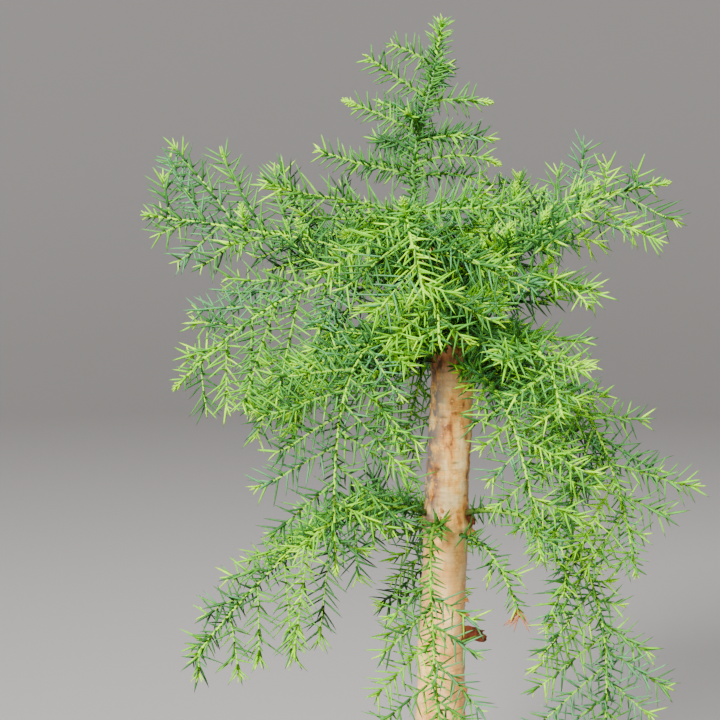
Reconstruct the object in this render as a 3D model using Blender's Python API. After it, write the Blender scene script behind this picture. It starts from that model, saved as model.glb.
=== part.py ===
"""Hoop pine bonsai in a plain stoneware pot: pot, soil, trunk, boughs and masses of needle sprays.

Metres, +Z up. The origin is the centre of the pot's foot plan, on the surface it stands on.
"""
import math
import random

import bmesh
import bpy
import numpy as np
from mathutils import Vector
from mathutils.geometry import interpolate_bezier

# ---- driving sizes ---------------------------------------------------------
CLEAR = 0.0003                  # gap between one piece and the next

POT_LENGTH = 0.250
POT_WIDTH = 0.180
POT_HEIGHT = 0.072
POT_CORNER = 0.030
POT_WALL = 0.0075
POT_FOOT_HEIGHT = 0.009
POT_FLOOR = 0.0085
LIP_DEPTH = 0.011
LIP_STANDS_OUT = 0.0035
POT_TAPER = 0.007               # how far the wall draws in from lip to floor
FOOT_LENGTH = 0.036
FOOT_WIDTH = 0.022
DRAIN_RADIUS = 0.009
DRAIN_OFFSET = 0.055

SOIL_EDGE_DEPTH = 0.006         # soil below the lip at the wall
SOIL_TOP = 0.0722               # level patch under the trunk
SOIL_PATCH = 0.027

TRUNK_FOOT = SOIL_TOP + CLEAR
TRUNK_STANDS = 0.0142           # the trunk's foot stands this far right of the pot's centre
TRUNK_SIDES = 14
# trunk stations: height, lean from the foot along X, radius
TRUNK = (
    (TRUNK_FOOT, 0.0000, 0.0245),
    (0.0790, 0.0001, 0.0200),
    (0.0920, 0.0003, 0.0168),
    (0.1150, 0.0008, 0.0150),
    (0.1750, 0.0018, 0.0138),
    (0.2220, 0.0022, 0.0126),
    (0.2640, 0.0040, 0.0122),
    (0.2770, 0.0045, 0.0138),
    (0.2900, 0.0051, 0.0120),
    (0.3350, 0.0077, 0.0118),
    (0.3600, 0.0085, 0.0116),
    (0.3750, 0.0078, 0.0106),
    (0.3900, 0.0052, 0.0092),
    (0.4050, 0.0008, 0.0078),
    (0.4200, -0.0050, 0.0060),
    (0.4360, -0.0105, 0.0042),
    (0.4530, -0.0138, 0.0026),
    (0.4700, -0.0154, 0.0020),
    (0.4940, -0.0117, 0.0017),
    (0.5180, -0.0052, 0.0014),
    (0.5360, -0.0020, 0.0011),
)

# One row a bough, angles in degrees (0 is right, 90 is back), sizes in millimetres from the
# point where it leaves the trunk's axis: height there, bearing at the trunk, bearing at the tip,
# then reach and rise of its knee, shoulder and tip, its thickness at the trunk, the share of its
# length that is bare limb, the longest side twig, the bearing its fan of twigs spreads along,
# the roll that lifts the fan's far side, and the droop of its twigs.
COLUMNS = ("height", "from_bearing", "to_bearing", "knee", "shoulder", "tip",
           "thick", "bare", "twig", "fan", "roll", "droop")
BOUGHS = {
    "low_left": (277, -156, -166, (30, 19), (61, 7), (144, -70), 5.4, 0.30, 56, 100, 35, 0.55),
    "low_front": (273, -104, -95, (41, 19), (57, 0), (55, -108), 5.0, 0.42, 50, 0, 0, 0.25),
    "low_right": (279, -34, -19, (32, 16), (63, 0), (90, -124), 5.4, 0.42, 56, 12, 0, 0.20),
    "low_right_inner": (271, -58, -42, (26, 5), (37, -5), (52, -38), 3.4, 0.45, 18, 20, 0, 0.30),
    "low_back": (278, 88, 97, (40, 4), (65, -19), (84, -101), 5.0, 0.34, 50, 0, 0, 0.25),
    "low_left_back": (280, 138, 141, (30, 10), (60, 2), (114, -30), 4.6, 0.34, 44, 60, 10, 0.40),
    "mid_left": (377, -146, -167, (34, 34), (66, 36), (156, -16), 5.4, 0.30, 64, 100, 38, 0.45),
    "mid_front_left": (371, -119, -122, (62, 30), (98, 11), (119, -95), 5.2, 0.42, 52, 10, 0, 0.20),
    "mid_front": (382, -97, -95, (60, 30), (96, 30), (130, 10), 4.2, 0.36, 40, 0, 0, 0.30),
    "mid_right": (371, -41, -30, (41, 14), (73, -12), (110, -110), 5.2, 0.34, 60, 25, 0, 0.20),
    "mid_front_right": (364, -76, -68, (57, 11), (87, -15), (108, -85), 4.8, 0.40, 44, 5, 0, 0.20),
    "mid_right_high": (382, -66, -68, (58, 18), (101, 2), (132, -27), 4.2, 0.36, 42, 10, 0, 0.25),
    "mid_back_left": (372, 137, 138, (37, 13), (79, -2), (136, -50), 5.0, 0.34, 52, 50, 0, 0.25),
    "mid_back_right": (374, 47, 47, (41, -1), (80, -35), (116, -98), 5.0, 0.34, 52, -40, 0, 0.25),
    "mid_back": (376, 92, 103, (55, 8), (86, -13), (112, -78), 4.8, 0.36, 50, 10, 0, 0.25),
    "mid_left_low": (364, 172, 176, (36, 12), (68, 2), (110, -26), 4.6, 0.36, 54, 90, 20, 0.45),
    "top_left": (404, 178, 170, (33, 23), (80, 31), (167, 42), 5.0, 0.28, 54, 85, 38, 0.05),
    "top_front": (405, -109, -96, (32, 28), (81, 47), (128, 12), 4.4, 0.42, 66, 5, 0, 0.20),
    "top_right": (405, 2, 9, (41, 27), (75, 46), (124, 59), 4.6, 0.34, 46, 95, 42, 0.00),
    "top_right_front": (408, -46, -43, (41, 24), (65, 31), (100, 46), 3.6, 0.34, 38, 60, 20, 0.10),
    "top_right_low": (393, -47, -46, (48, 20), (73, 25), (99, 12), 3.6, 0.0, 38, 40, 0, 0.30),
    "top_back_right": (411, 50, 61, (38, 23), (71, 36), (108, 54), 3.8, 0.32, 42, -30, 0, 0.15),
    "top_back_left": (408, 124, 121, (41, 25), (77, 28), (129, 8), 4.4, 0.32, 50, 30, 0, 0.20),
    "top_back": (397, 88, 84, (45, 23), (80, 25), (129, 0), 4.4, 0.34, 50, 0, 0, 0.20),
}

# Sprays that stand on the leader itself: height, bearing, reach and rise of the knee and the tip,
# and the length of their side twigs.
SPRAYS = {
    "leader_left_low": (470, 176, (27, 4), (53, 13), 0),
    "leader_right_low": (475, -14, (25, 9), (43, 2), 0),
    "leader_back_left": (482, 114, (26, 7), (54, 5), 0),
    "leader_back_right": (489, 38, (26, 5), (54, -1), 0),
    "leader_left_mid": (492, -176, (17, 9), (36, 16), 0),
    "leader_right_mid": (509, 8, (15, 2), (31, 0), 0),
    "leader_left_high": (511, -177, (17, 11), (34, 23), 0),
    "leader_back": (516, 76, (17, 7), (38, 12), 0),
    "leader_left_top": (528, -174, (11, 8), (25, 12), 0),
}
CROWN_TUFT = 0.013              # needles above the end of the woody leader

TWIG_PITCH = 0.0160             # along a bough, between one side twig and the next
TWIG_ANGLE = 58                 # between twig and bough
SPRAY_WIDTH = 0.0092            # half the spread of the needles on a twig
RIB_WIDTH = 0.0020
SPRAY_THICK = 0.0011
TOOTH_PITCH = 0.0150
STEM_RADIUS = 0.0013
OWN_SPACE = 0.0025              # a spray stays this much nearer its own stem than any other
SEED = 17


# ---- helpers ---------------------------------------------------------------
def material(name, colour, roughness):
    """A plain Principled material from a linear colour."""
    made = bpy.data.materials.new(name)
    made.use_nodes = True
    shader = made.node_tree.nodes["Principled BSDF"]
    shader.inputs["Base Color"].default_value = (*colour, 1.0)
    shader.inputs["Roughness"].default_value = roughness
    shader.inputs["Metallic"].default_value = 0.0
    made.diffuse_color = (*colour, 1.0)
    return made


def add_object(name, bm, mat):
    """Turn a bmesh into a named object with its faces outward."""
    bmesh.ops.recalc_face_normals(bm, faces=bm.faces)
    mesh = bpy.data.meshes.new(name)
    bm.to_mesh(mesh)
    bm.free()
    mesh.materials.append(mat)
    made = bpy.data.objects.new(name, mesh)
    bpy.context.scene.collection.objects.link(made)
    return made


def apply_modifiers(obj):
    """Put the evaluated shape into the mesh and clear the stack."""
    graph = bpy.context.evaluated_depsgraph_get()
    done = bpy.data.meshes.new_from_object(obj.evaluated_get(graph))
    obj.modifiers.clear()
    old = obj.data
    obj.data = done
    bpy.data.meshes.remove(old)


def boolean(obj, operation, other=None, collection=None, solver="EXACT"):
    """Join or cut an object with another, or with a whole collection."""
    mod = obj.modifiers.new(operation.title(), "BOOLEAN")
    mod.operation = operation
    mod.solver = solver
    if collection is None:
        mod.object = other
    else:
        mod.operand_type = "COLLECTION"
        mod.collection = collection
    apply_modifiers(obj)


def bridge(bm, low, high):
    """Faces between two rings of the same count."""
    for i in range(len(low)):
        j = (i + 1) % len(low)
        bm.faces.new((low[i], low[j], high[j], high[i]))


def rounded_ring(bm, half_x, half_y, corner, z, steps=4):
    """A ring of vertices round a rectangle with round corners."""
    ring = []
    for quarter in range(4):
        angle = quarter * math.pi / 2
        sx = 1 if quarter in (0, 3) else -1
        sy = 1 if quarter in (0, 1) else -1
        for step in range(steps + 1):
            a = angle + step * math.pi / 2 / steps
            ring.append(bm.verts.new((sx * (half_x - corner) + corner * math.cos(a),
                                      sy * (half_y - corner) + corner * math.sin(a), z)))
    return ring


def tube(path, radii, sides, starts=None, ends=None):
    """A closed tube of flat sides along a path, its ends cut square to the way it starts and ends."""
    bm = bmesh.new()
    rings = []
    side = None
    for i, point in enumerate(path):
        ahead = path[min(i + 1, len(path) - 1)]
        behind = path[max(i - 1, 0)]
        along = (ahead - behind).normalized()
        if i == 0 and starts:
            along = starts
        if i == len(path) - 1 and ends:
            along = ends
        if side is None:
            side = along.orthogonal().normalized()
        side = (side - along * side.dot(along)).normalized()
        over = along.cross(side)
        ring = []
        for k in range(sides):
            a = 2 * math.pi * k / sides
            ring.append(bm.verts.new(point + (side * math.cos(a) + over * math.sin(a)) * radii[i]))
        rings.append(ring)
    for low, high in zip(rings, rings[1:]):
        bridge(bm, low, high)
    bm.faces.new(list(reversed(rings[0])))
    bm.faces.new(rings[-1])
    return bm


def polar(bearing, reach, rise):
    """Offset for a bearing in degrees and millimetres out and up."""
    a = math.radians(bearing)
    return Vector((math.cos(a) * reach, math.sin(a) * reach, rise)) * 0.001


def even(points, step):
    """The same path with its points a fixed distance apart."""
    total = [0.0]
    for a, b in zip(points, points[1:]):
        total.append(total[-1] + (b - a).length)
    count = max(2, round(total[-1] / step))
    out = []
    for i in range(count + 1):
        want = total[-1] * i / count
        k = 0
        while k < len(points) - 2 and total[k + 1] < want:
            k += 1
        span = total[k + 1] - total[k]
        share = (want - total[k]) / span if span > 0 else 0.0
        out.append(points[k].lerp(points[k + 1], min(1.0, share)))
    return out


def curve(start, knee, end, count=14):
    """Points along a curve drawn toward its knee."""
    first = start.lerp(knee, 2 / 3)
    second = end.lerp(knee, 2 / 3)
    return list(interpolate_bezier(start, first, second, end, count))


def trunk_axis(height):
    """Centre and radius of the trunk at a height."""
    for low, high in zip(TRUNK, TRUNK[1:]):
        if height <= high[0]:
            share = max(0.0, (height - low[0]) / (high[0] - low[0]))
            x = TRUNK_STANDS + low[1] + (high[1] - low[1]) * share
            return Vector((x, 0.0, height)), low[2] + (high[2] - low[2]) * share
    return Vector((TRUNK_STANDS + TRUNK[-1][1], 0.0, height)), TRUNK[-1][2]


def bough_path(row):
    """The line of a bough from the trunk's axis to its tip, 2 mm a step."""
    b0 = row["from_bearing"]
    b1 = row["to_bearing"]
    start = trunk_axis(row["height"] * 0.001)[0]
    knee = start + polar(b0, *row["knee"])
    shoulder = start + polar(b0 + (b1 - b0) * 0.35, *row["shoulder"])
    tip = start + polar(b1, *row["tip"])
    bend = shoulder + (shoulder - knee).normalized() * 0.35 * (tip - shoulder).length
    points = curve(start, knee, shoulder) + curve(shoulder, bend, tip, 20)[1:]
    return even(points, 0.002)


def keep_largest(obj):
    """Drop loose scraps and sealed hollows that fusing leaves."""
    bm = bmesh.new()
    bm.from_mesh(obj.data)
    left = set(bm.verts)
    groups = []
    while left:
        seed = left.pop()
        group = {seed}
        stack = [seed]
        while stack:
            for edge in stack.pop().link_edges:
                for vert in edge.verts:
                    if vert in left:
                        left.discard(vert)
                        group.add(vert)
                        stack.append(vert)
        groups.append(group)
    groups.sort(key=len, reverse=True)
    for group in groups[1:]:
        bmesh.ops.delete(bm, geom=list(group), context="VERTS")
    bm.to_mesh(obj.data)
    bm.free()


# ---- start clean -----------------------------------------------------------
for old in list(bpy.data.objects):
    bpy.data.objects.remove(old, do_unlink=True)
random.seed(SEED)
scene_objects = bpy.context.scene.collection.objects

stoneware = material("stoneware", (0.082, 0.060, 0.048), 0.72)
grit = material("soil_grit", (0.105, 0.078, 0.052), 0.95)
bark = material("bark", (0.50, 0.33, 0.17), 0.70)
twig_bark = material("twig_bark", (0.25, 0.18, 0.08), 0.75)
needles = material("needles", (0.17, 0.32, 0.09), 0.50)

# ---- pot -------------------------------------------------------------------
half_x = POT_LENGTH / 2
half_y = POT_WIDTH / 2
wall_x = half_x - LIP_STANDS_OUT
wall_y = half_y - LIP_STANDS_OUT
inner_x = wall_x - POT_WALL
inner_y = wall_y - POT_WALL
bm = bmesh.new()
rings = [
    rounded_ring(bm, wall_x - POT_TAPER, wall_y - POT_TAPER, POT_CORNER - 0.006, POT_FOOT_HEIGHT),
    rounded_ring(bm, wall_x, wall_y, POT_CORNER, POT_HEIGHT - LIP_DEPTH),
    rounded_ring(bm, half_x, half_y, POT_CORNER + 0.003, POT_HEIGHT - LIP_DEPTH + 0.002),
    rounded_ring(bm, half_x, half_y, POT_CORNER + 0.003, POT_HEIGHT - 0.0015),
    rounded_ring(bm, half_x - 0.0015, half_y - 0.0015, POT_CORNER + 0.0015, POT_HEIGHT),
    rounded_ring(bm, inner_x, inner_y, POT_CORNER - 0.004, POT_HEIGHT),
    rounded_ring(bm, inner_x - POT_TAPER, inner_y - POT_TAPER, POT_CORNER - 0.010,
                 POT_FOOT_HEIGHT + POT_FLOOR),
]
for low, high in zip(rings, rings[1:]):
    bridge(bm, low, high)
bm.faces.new(list(reversed(rings[0])))
bm.faces.new(rings[-1])
pot = add_object("pot", bm, stoneware)

feet = bpy.data.collections.new("feet")
bpy.context.scene.collection.children.link(feet)
foot_x = wall_x - POT_TAPER - FOOT_LENGTH / 2 - 0.003
foot_y = wall_y - POT_TAPER - FOOT_WIDTH / 2 - 0.003
for sx in (-1, 1):
    for sy in (-1, 1):
        bm = bmesh.new()
        low = rounded_ring(bm, FOOT_LENGTH / 2 - 0.0015, FOOT_WIDTH / 2 - 0.0015, 0.007, 0.0, 3)
        high = rounded_ring(bm, FOOT_LENGTH / 2, FOOT_WIDTH / 2, 0.0085,
                            POT_FOOT_HEIGHT + POT_FLOOR * 0.5, 3)
        bridge(bm, low, high)
        bm.faces.new(list(reversed(low)))
        bm.faces.new(high)
        bmesh.ops.translate(bm, vec=(sx * foot_x, sy * foot_y, 0.0), verts=bm.verts)
        foot = add_object("foot_%d_%d" % (sx + 1, sy + 1), bm, stoneware)
        scene_objects.unlink(foot)
        feet.objects.link(foot)
boolean(pot, "UNION", collection=feet)
for foot in list(feet.objects):
    bpy.data.objects.remove(foot, do_unlink=True)
bpy.data.collections.remove(feet)

for side in (-1, 1):
    bm = bmesh.new()
    bmesh.ops.create_cone(bm, cap_ends=True, segments=14, radius1=DRAIN_RADIUS,
                          radius2=DRAIN_RADIUS, depth=0.03)
    bmesh.ops.translate(bm, vec=(side * DRAIN_OFFSET, 0.0, POT_FOOT_HEIGHT + 0.004),
                        verts=bm.verts)
    drain = add_object("drain", bm, stoneware)
    drain.hide_render = True
    drain.display_type = "WIRE"
    boolean(pot, "DIFFERENCE", other=drain)
    bpy.data.objects.remove(drain, do_unlink=True)

# ---- soil ------------------------------------------------------------------
floor_z = POT_FOOT_HEIGHT + POT_FLOOR + CLEAR
edge_z = POT_HEIGHT - SOIL_EDGE_DEPTH
depth = POT_HEIGHT - POT_FOOT_HEIGHT - POT_FLOOR


def soil_half(half, z):
    """Half width of the soil at a height, following the pot's wall."""
    return half - POT_TAPER * (POT_HEIGHT - z) / depth - CLEAR * 1.2


bm = bmesh.new()
corner_low = POT_CORNER - 0.010
corner_high = POT_CORNER - 0.004
foot_axis = trunk_axis(TRUNK_FOOT)[0]
rings = [
    rounded_ring(bm, soil_half(inner_x, floor_z), soil_half(inner_y, floor_z), corner_low, floor_z),
    rounded_ring(bm, soil_half(inner_x, edge_z), soil_half(inner_y, edge_z), corner_high, edge_z),
]
for share, height in ((0.55, 0.0697), (0.0, SOIL_TOP)):
    ring = []
    for vert in rings[1]:
        out = Vector((vert.co.x, vert.co.y, 0.0))
        centre = Vector((foot_axis.x, 0.0, 0.0))
        near = centre + (out - centre).normalized() * SOIL_PATCH
        spot = near.lerp(out, share)
        ring.append(bm.verts.new((spot.x, spot.y, height)))
    rings.append(ring)
for low, high in zip(rings, rings[1:]):
    bridge(bm, low, high)
bm.faces.new(list(reversed(rings[0])))
bm.faces.new(rings[-1])
add_object("soil", bm, grit)

# ---- trunk -----------------------------------------------------------------
def trunk_mesh(extra):
    """The trunk as level rings, each grown by extra."""
    made = bmesh.new()
    made_rings = []
    for height, lean_x, radius in TRUNK:
        ring = []
        x = TRUNK_STANDS + lean_x
        for k in range(TRUNK_SIDES):
            a = 2 * math.pi * k / TRUNK_SIDES
            flare = 1.0
            if height < 0.10:
                flare = 1.0 + 0.10 * math.sin(5 * a + 0.6) * (0.10 - height) / 0.028
            r = radius * flare + extra
            ring.append(made.verts.new((x + math.cos(a) * r, math.sin(a) * r, height)))
        made_rings.append(ring)
    for low_ring, high_ring in zip(made_rings, made_rings[1:]):
        bridge(made, low_ring, high_ring)
    made.faces.new(list(reversed(made_rings[0])))
    made.faces.new(made_rings[-1])
    return made


add_object("trunk", trunk_mesh(0.0), bark)
trunk_cutter = add_object("trunk_cutter", trunk_mesh(CLEAR * 1.05), bark)
trunk_cutter.hide_render = True
trunk_cutter.display_type = "WIRE"

# ---- lines of every bough and spray ----------------------------------------
class Stem:
    """One mass of foliage: its line, the bare limb before it and its twigs."""

    def __init__(self, name, points, bare, thick, twig, fan, roll, droop, bearing):
        self.name = name
        self.limb = []
        self.joint = None
        self.twig = twig
        self.fan = polar(fan, 1000, 0)
        self.roll = math.radians(roll)
        self.droop = droop
        self.outward = polar(bearing, 1000, 600)
        self.thick = thick
        cut = round((len(points) - 1) * bare)
        if cut:
            self.limb = points[:cut + 1]
            self.joint = (points[cut + 1] - points[cut]).normalized()
            self.line = [points[cut] + self.joint * CLEAR] + points[cut + 1:]
        else:
            self.line = points


stems = []
for name, values in BOUGHS.items():
    row = dict(zip(COLUMNS, values))
    stems.append(Stem(name, bough_path(row), row["bare"], row["thick"], row["twig"] * 0.001,
                      row["fan"], row["roll"], row["droop"], row["to_bearing"]))
for name, (height, bearing, knee, tip, twig) in SPRAYS.items():
    start = trunk_axis(height * 0.001)[0]
    points = even(curve(start, start + polar(bearing, *knee), start + polar(bearing, *tip)), 0.002)
    stems.append(Stem(name, points, 0.0, 2.4, twig * 0.001, 0, 0, 0.0, bearing))
top = trunk_axis(TRUNK[-1][0])[0] + Vector((0.0, 0.0, CLEAR))
lean = (top - trunk_axis(TRUNK[-2][0])[0]).normalized()
stems.append(Stem("leader_tip", even([top, top + lean * CROWN_TUFT], 0.002), 0.0, 1.8, 0.0,
                  0, 0, 0.0, 0))

space_points = []
space_labels = []
limb_points = []
limb_radii = []
for label, stem in enumerate(stems):
    for point in stem.line:
        space_points.append(point)
        space_labels.append(label)
    for i, point in enumerate(stem.limb):
        share = i / (len(stem.limb) - 1)
        limb_points.append(point)
        limb_radii.append(stem.thick * 0.0005 * (1.0 - 0.5 * share))
for height in np.arange(TRUNK_FOOT, TRUNK[-1][0], 0.003):
    centre, radius = trunk_axis(float(height))
    limb_points.append(centre)
    limb_radii.append(radius)
space_points = np.array([tuple(p) for p in space_points])
space_labels = np.array(space_labels)
limb_points = np.array([tuple(p) for p in limb_points])
limb_radii = np.array(limb_radii)


def has_room(samples, label):
    """True where every sample is in this mass's own space and off the limbs."""
    for point in samples:
        spot = np.array(tuple(point))
        off = np.linalg.norm(limb_points - spot, axis=1) - limb_radii
        if off.min() < 0.0014:
            return False
        away = np.linalg.norm(space_points - spot, axis=1)
        own = away[space_labels == label].min()
        if away[space_labels != label].min() < own + OWN_SPACE:
            return False
    return True


def blade(line, over, width, teeth):
    """A toothed blade along a line: a rib with pointed teeth on both sides."""
    count = len(line) - 1
    made = bmesh.new()
    half = over * SPRAY_THICK / 2
    stations = []
    for i in range(teeth + 1):
        spot = i * count / teeth
        low = min(int(spot), count - 1)
        point = line[low].lerp(line[low + 1], spot - low)
        along = (line[low + 1] - line[low]).normalized()
        stations.append((point, along, over.cross(along).normalized()))
    layers = []
    for lift in (half, -half):
        rib = []
        tips = []
        for i, (point, along, side) in enumerate(stations):
            rib_half = RIB_WIDTH * (1.0 - 0.45 * i / teeth) / 2
            rib.append([made.verts.new(point + side * s * rib_half + lift) for s in (1, -1)])
            if i < teeth:
                ahead = stations[i + 1][0]
                reach = width * (1.0 if 0 < i or teeth < 3 else 0.85)
                if i == teeth - 1:
                    reach *= 0.8
                tips.append([made.verts.new(point.lerp(ahead, 0.85) + side * s * reach
                                            + along * width * 0.35 + lift) for s in (1, -1)])
        end = made.verts.new(stations[-1][0] + stations[-1][1] * width * 0.9 + lift)
        layers.append((rib, tips, end))
    for (rib, tips, end), flip in zip(layers, (False, True)):
        faces = []
        for i in range(teeth):
            faces.append((rib[i][0], tips[i][0], rib[i + 1][0]))
            faces.append((rib[i][1], rib[i + 1][1], tips[i][1]))
            faces.append((rib[i][0], rib[i + 1][0], rib[i + 1][1], rib[i][1]))
        faces.append((rib[-1][0], end, rib[-1][1]))
        for face in faces:
            made.faces.new(tuple(reversed(face)) if flip else face)
    up_rib, up_tips, up_end = layers[0]
    low_rib, low_tips, low_end = layers[1]
    for s in (0, 1):
        edge_up = []
        edge_low = []
        for i in range(teeth):
            edge_up += [up_rib[i][s], up_tips[i][s]]
            edge_low += [low_rib[i][s], low_tips[i][s]]
        edge_up += [up_rib[-1][s], up_end]
        edge_low += [low_rib[-1][s], low_end]
        for i in range(len(edge_up) - 1):
            made.faces.new((edge_up[i], edge_up[i + 1], edge_low[i + 1], edge_low[i]))
    made.faces.new((up_rib[0][0], up_rib[0][1], low_rib[0][1], low_rib[0][0]))
    return made


def blade_samples(line, over, width):
    """Points on a blade's mid plane to test for room."""
    out = []
    for i in range(1, len(line)):
        along = (line[i] - line[i - 1]).normalized()
        side = over.cross(along).normalized()
        out.append(line[i])
        out.append(line[i] + side * width + along * width * 0.35)
        out.append(line[i] - side * width + along * width * 0.35)
    out.append(line[-1] + (line[-1] - line[-2]).normalized() * width * 0.9)
    return out


def twig_line(start, along, length, sag):
    """A twig's line, sagging toward its end."""
    points = [start]
    heading = along.normalized()
    steps = 4
    for _ in range(steps):
        heading = (heading + Vector((0.0, 0.0, -sag / steps))).normalized()
        points.append(points[-1] + heading * (length / steps))
    return points


def upright(along, lean_to):
    """A blade's face direction: across its line, nearest the way asked for."""
    over = lean_to - along * lean_to.dot(along)
    if over.length < 0.05:
        over = along.orthogonal()
    return over.normalized()


# ---- limbs and masses ------------------------------------------------------
def build_limb(stem):
    """One tapering limb, cut to the trunk with a clear seat."""
    points = even(stem.limb, 0.013)
    radii = [stem.thick * 0.0005 * (1.0 - 0.5 * i / (len(points) - 1)) for i in range(len(points))]
    limb = add_object(stem.name + "_bough", tube(points, radii, 6, ends=stem.joint), twig_bark)
    boolean(limb, "DIFFERENCE", other=trunk_cutter)
    keep_largest(limb)
    return limb


def build_mass(label, stem):
    """A stem with toothed sprays in two ranks, joined to one solid."""
    line = stem.line
    length = sum((b - a).length for a, b in zip(line, line[1:]))
    points = even(line, 0.016 if stem.twig else 0.010)
    points[0] = line[0]
    base = min(STEM_RADIUS * 1.25, stem.thick * 0.00028)
    radii = [base * (1.0 - 0.5 * i / (len(points) - 1)) for i in range(len(points))]
    mass = add_object(stem.name, tube(points, radii, 3, starts=stem.joint), needles)
    from_trunk = not stem.limb and stem.name != "leader_tip"
    blades = []
    if stem.twig:
        count = max(3, round(length / TWIG_PITCH))
        for i in range(count):
            share = (i + 0.55) / count
            spot = share * (len(line) - 1)
            k = min(int(spot), len(line) - 2)
            start = line[k].lerp(line[k + 1], spot - k)
            along = (line[k + 1] - line[k]).normalized()
            side = 1 if i % 2 else -1
            level = (stem.fan - along * stem.fan.dot(along)).normalized()
            above = level.cross(along).normalized()
            if above.z < 0:
                above = -above
            fan = level * math.cos(stem.roll) + above * math.sin(stem.roll)
            angle = math.radians(TWIG_ANGLE + random.uniform(-6, 6))
            heading = along * math.cos(angle) + fan * side * math.sin(angle)
            fullness = min(1.0, 0.62 + share * 1.3) * min(1.0, (1.06 - share) / 0.55) ** 0.8
            full = stem.twig * fullness * random.uniform(0.88, 1.08)
            for part in (1.0, 0.8, 0.62, 0.46, 0.34):
                twig = twig_line(start, heading, full * part, stem.droop)
                over = upright(heading.normalized(), stem.outward)
                if i % 4 in (1, 2):
                    over = over.cross(heading.normalized()).normalized()
                wide = SPRAY_WIDTH * (1.0 if full * part > 0.022 else 0.8)
                beyond = [twig[0].lerp(twig[1], 0.6)] + twig[1:]
                if full * part > 0.009 and has_room(blade_samples(beyond, over, wide), label):
                    teeth = max(2, round(full * part / TOOTH_PITCH))
                    root = start - heading.normalized() * 0.0004
                    blades.append(blade([root] + twig[1:], over, wide, teeth))
                    break
        lead = [line[-1 - k] for k in range(11, -1, -1)] if len(line) > 14 else line[3:]
    else:
        lead = line[2:] if from_trunk else line
        if from_trunk:
            lead = [p for p in line if (p - line[0]).length > trunk_axis(line[0].z)[1] + 0.004]
    lead_dir = (lead[-1] - lead[0]).normalized()
    run = sum((b - a).length for a, b in zip(lead, lead[1:]))
    teeth = max(2, round(run / (TOOTH_PITCH * 0.8)))
    over = upright(lead_dir, Vector((0.0, -1.0, 0.25)))
    blades.append(blade(lead, over, SPRAY_WIDTH * 0.95, teeth))
    if stem.name == "leader_tip":
        crossed = [p + over * 0.0002 + lead_dir * 0.0015 for p in lead]
        over = upright(lead_dir, Vector((1.0, 0.3, 0.0)))
        blades.append(blade(crossed, over, SPRAY_WIDTH * 0.80, teeth))
    kit = bpy.data.collections.new(stem.name + "_kit")
    bpy.context.scene.collection.children.link(kit)
    for number, made in enumerate(blades):
        piece = add_object("%s_spray_%d" % (stem.name, number), made, needles)
        scene_objects.unlink(piece)
        kit.objects.link(piece)
    boolean(mass, "UNION", collection=kit)
    for piece in list(kit.objects):
        bpy.data.objects.remove(piece, do_unlink=True)
    bpy.data.collections.remove(kit)
    if from_trunk:
        boolean(mass, "DIFFERENCE", other=trunk_cutter)
    keep_largest(mass)
    return mass


for label, stem in enumerate(stems):
    if stem.limb:
        build_limb(stem)
    build_mass(label, stem)
bpy.data.objects.remove(trunk_cutter, do_unlink=True)
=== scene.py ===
import math
import random

import bmesh
import bpy
import numpy as np
from mathutils import Matrix, Vector, noise
from mathutils.geometry import interpolate_bezier


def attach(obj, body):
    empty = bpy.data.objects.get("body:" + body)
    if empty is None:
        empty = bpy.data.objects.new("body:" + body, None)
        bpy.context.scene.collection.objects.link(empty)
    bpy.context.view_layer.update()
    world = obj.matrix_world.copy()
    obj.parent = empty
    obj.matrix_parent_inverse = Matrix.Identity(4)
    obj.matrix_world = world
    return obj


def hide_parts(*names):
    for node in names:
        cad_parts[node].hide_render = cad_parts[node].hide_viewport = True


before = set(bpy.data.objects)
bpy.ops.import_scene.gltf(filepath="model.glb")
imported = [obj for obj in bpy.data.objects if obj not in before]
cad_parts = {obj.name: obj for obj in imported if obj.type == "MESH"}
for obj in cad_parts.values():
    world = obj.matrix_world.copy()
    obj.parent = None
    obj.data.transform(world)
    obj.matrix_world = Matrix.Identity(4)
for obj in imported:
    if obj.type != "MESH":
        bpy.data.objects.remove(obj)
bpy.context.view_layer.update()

# ---- Studio ------------------------------------------------------------------
# A pale paper floor that sweeps up all round, three soft boxes and the camera. The floor
# is wide enough to fill the frame from any side, and the boxes are large, for soft shadows.
SWEEP_RADIUS = 2.3
# how the paper sweeps up beyond that: radius, height
SWEEP = ((2.75, 0.06), (3.15, 0.22), (3.50, 0.50), (3.72, 0.90), (3.80, 1.45), (3.80, 2.60))
CAMERA_BACK = 1.1
CAMERA_TILT = 7                 # degrees down
CAMERA_LENS = 100
CAMERA_AIM = Vector((-0.02945, 0.0, 0.368))
LIGHT_AIM = Vector((0.0, 0.0, 0.33))
AIR_LIGHT = 0.15
# each box's place, width and power
SOFT_BOXES = {
    "key_box": ((-1.35, -3.05, 2.15), 0.76, 550.0),
    "fill_box": ((1.45, -1.10, 0.70), 1.40, 4.5),
    "top_box": ((0.25, 0.45, 1.75), 0.80, 42.0),
}


def linear(code):
    """A hex sRGB colour as linear red, green, blue and alpha."""
    out = []
    for i in (0, 2, 4):
        c = int(code[i:i + 2], 16) / 255
        out.append(c / 12.92 if c <= 0.04045 else ((c + 0.055) / 1.055) ** 2.4)
    return (*out, 1.0)


def material(name, code, roughness):
    """A Principled material with its colour and roughness set, its tree and its shader."""
    made = bpy.data.materials.new(name)
    made.use_nodes = True
    tree = made.node_tree
    shader = tree.nodes["Principled BSDF"]
    shader.inputs["Base Color"].default_value = linear(code)
    shader.inputs["Roughness"].default_value = roughness
    shader.inputs["Specular IOR Level"].default_value = 0.12
    return made, tree, shader


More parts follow.
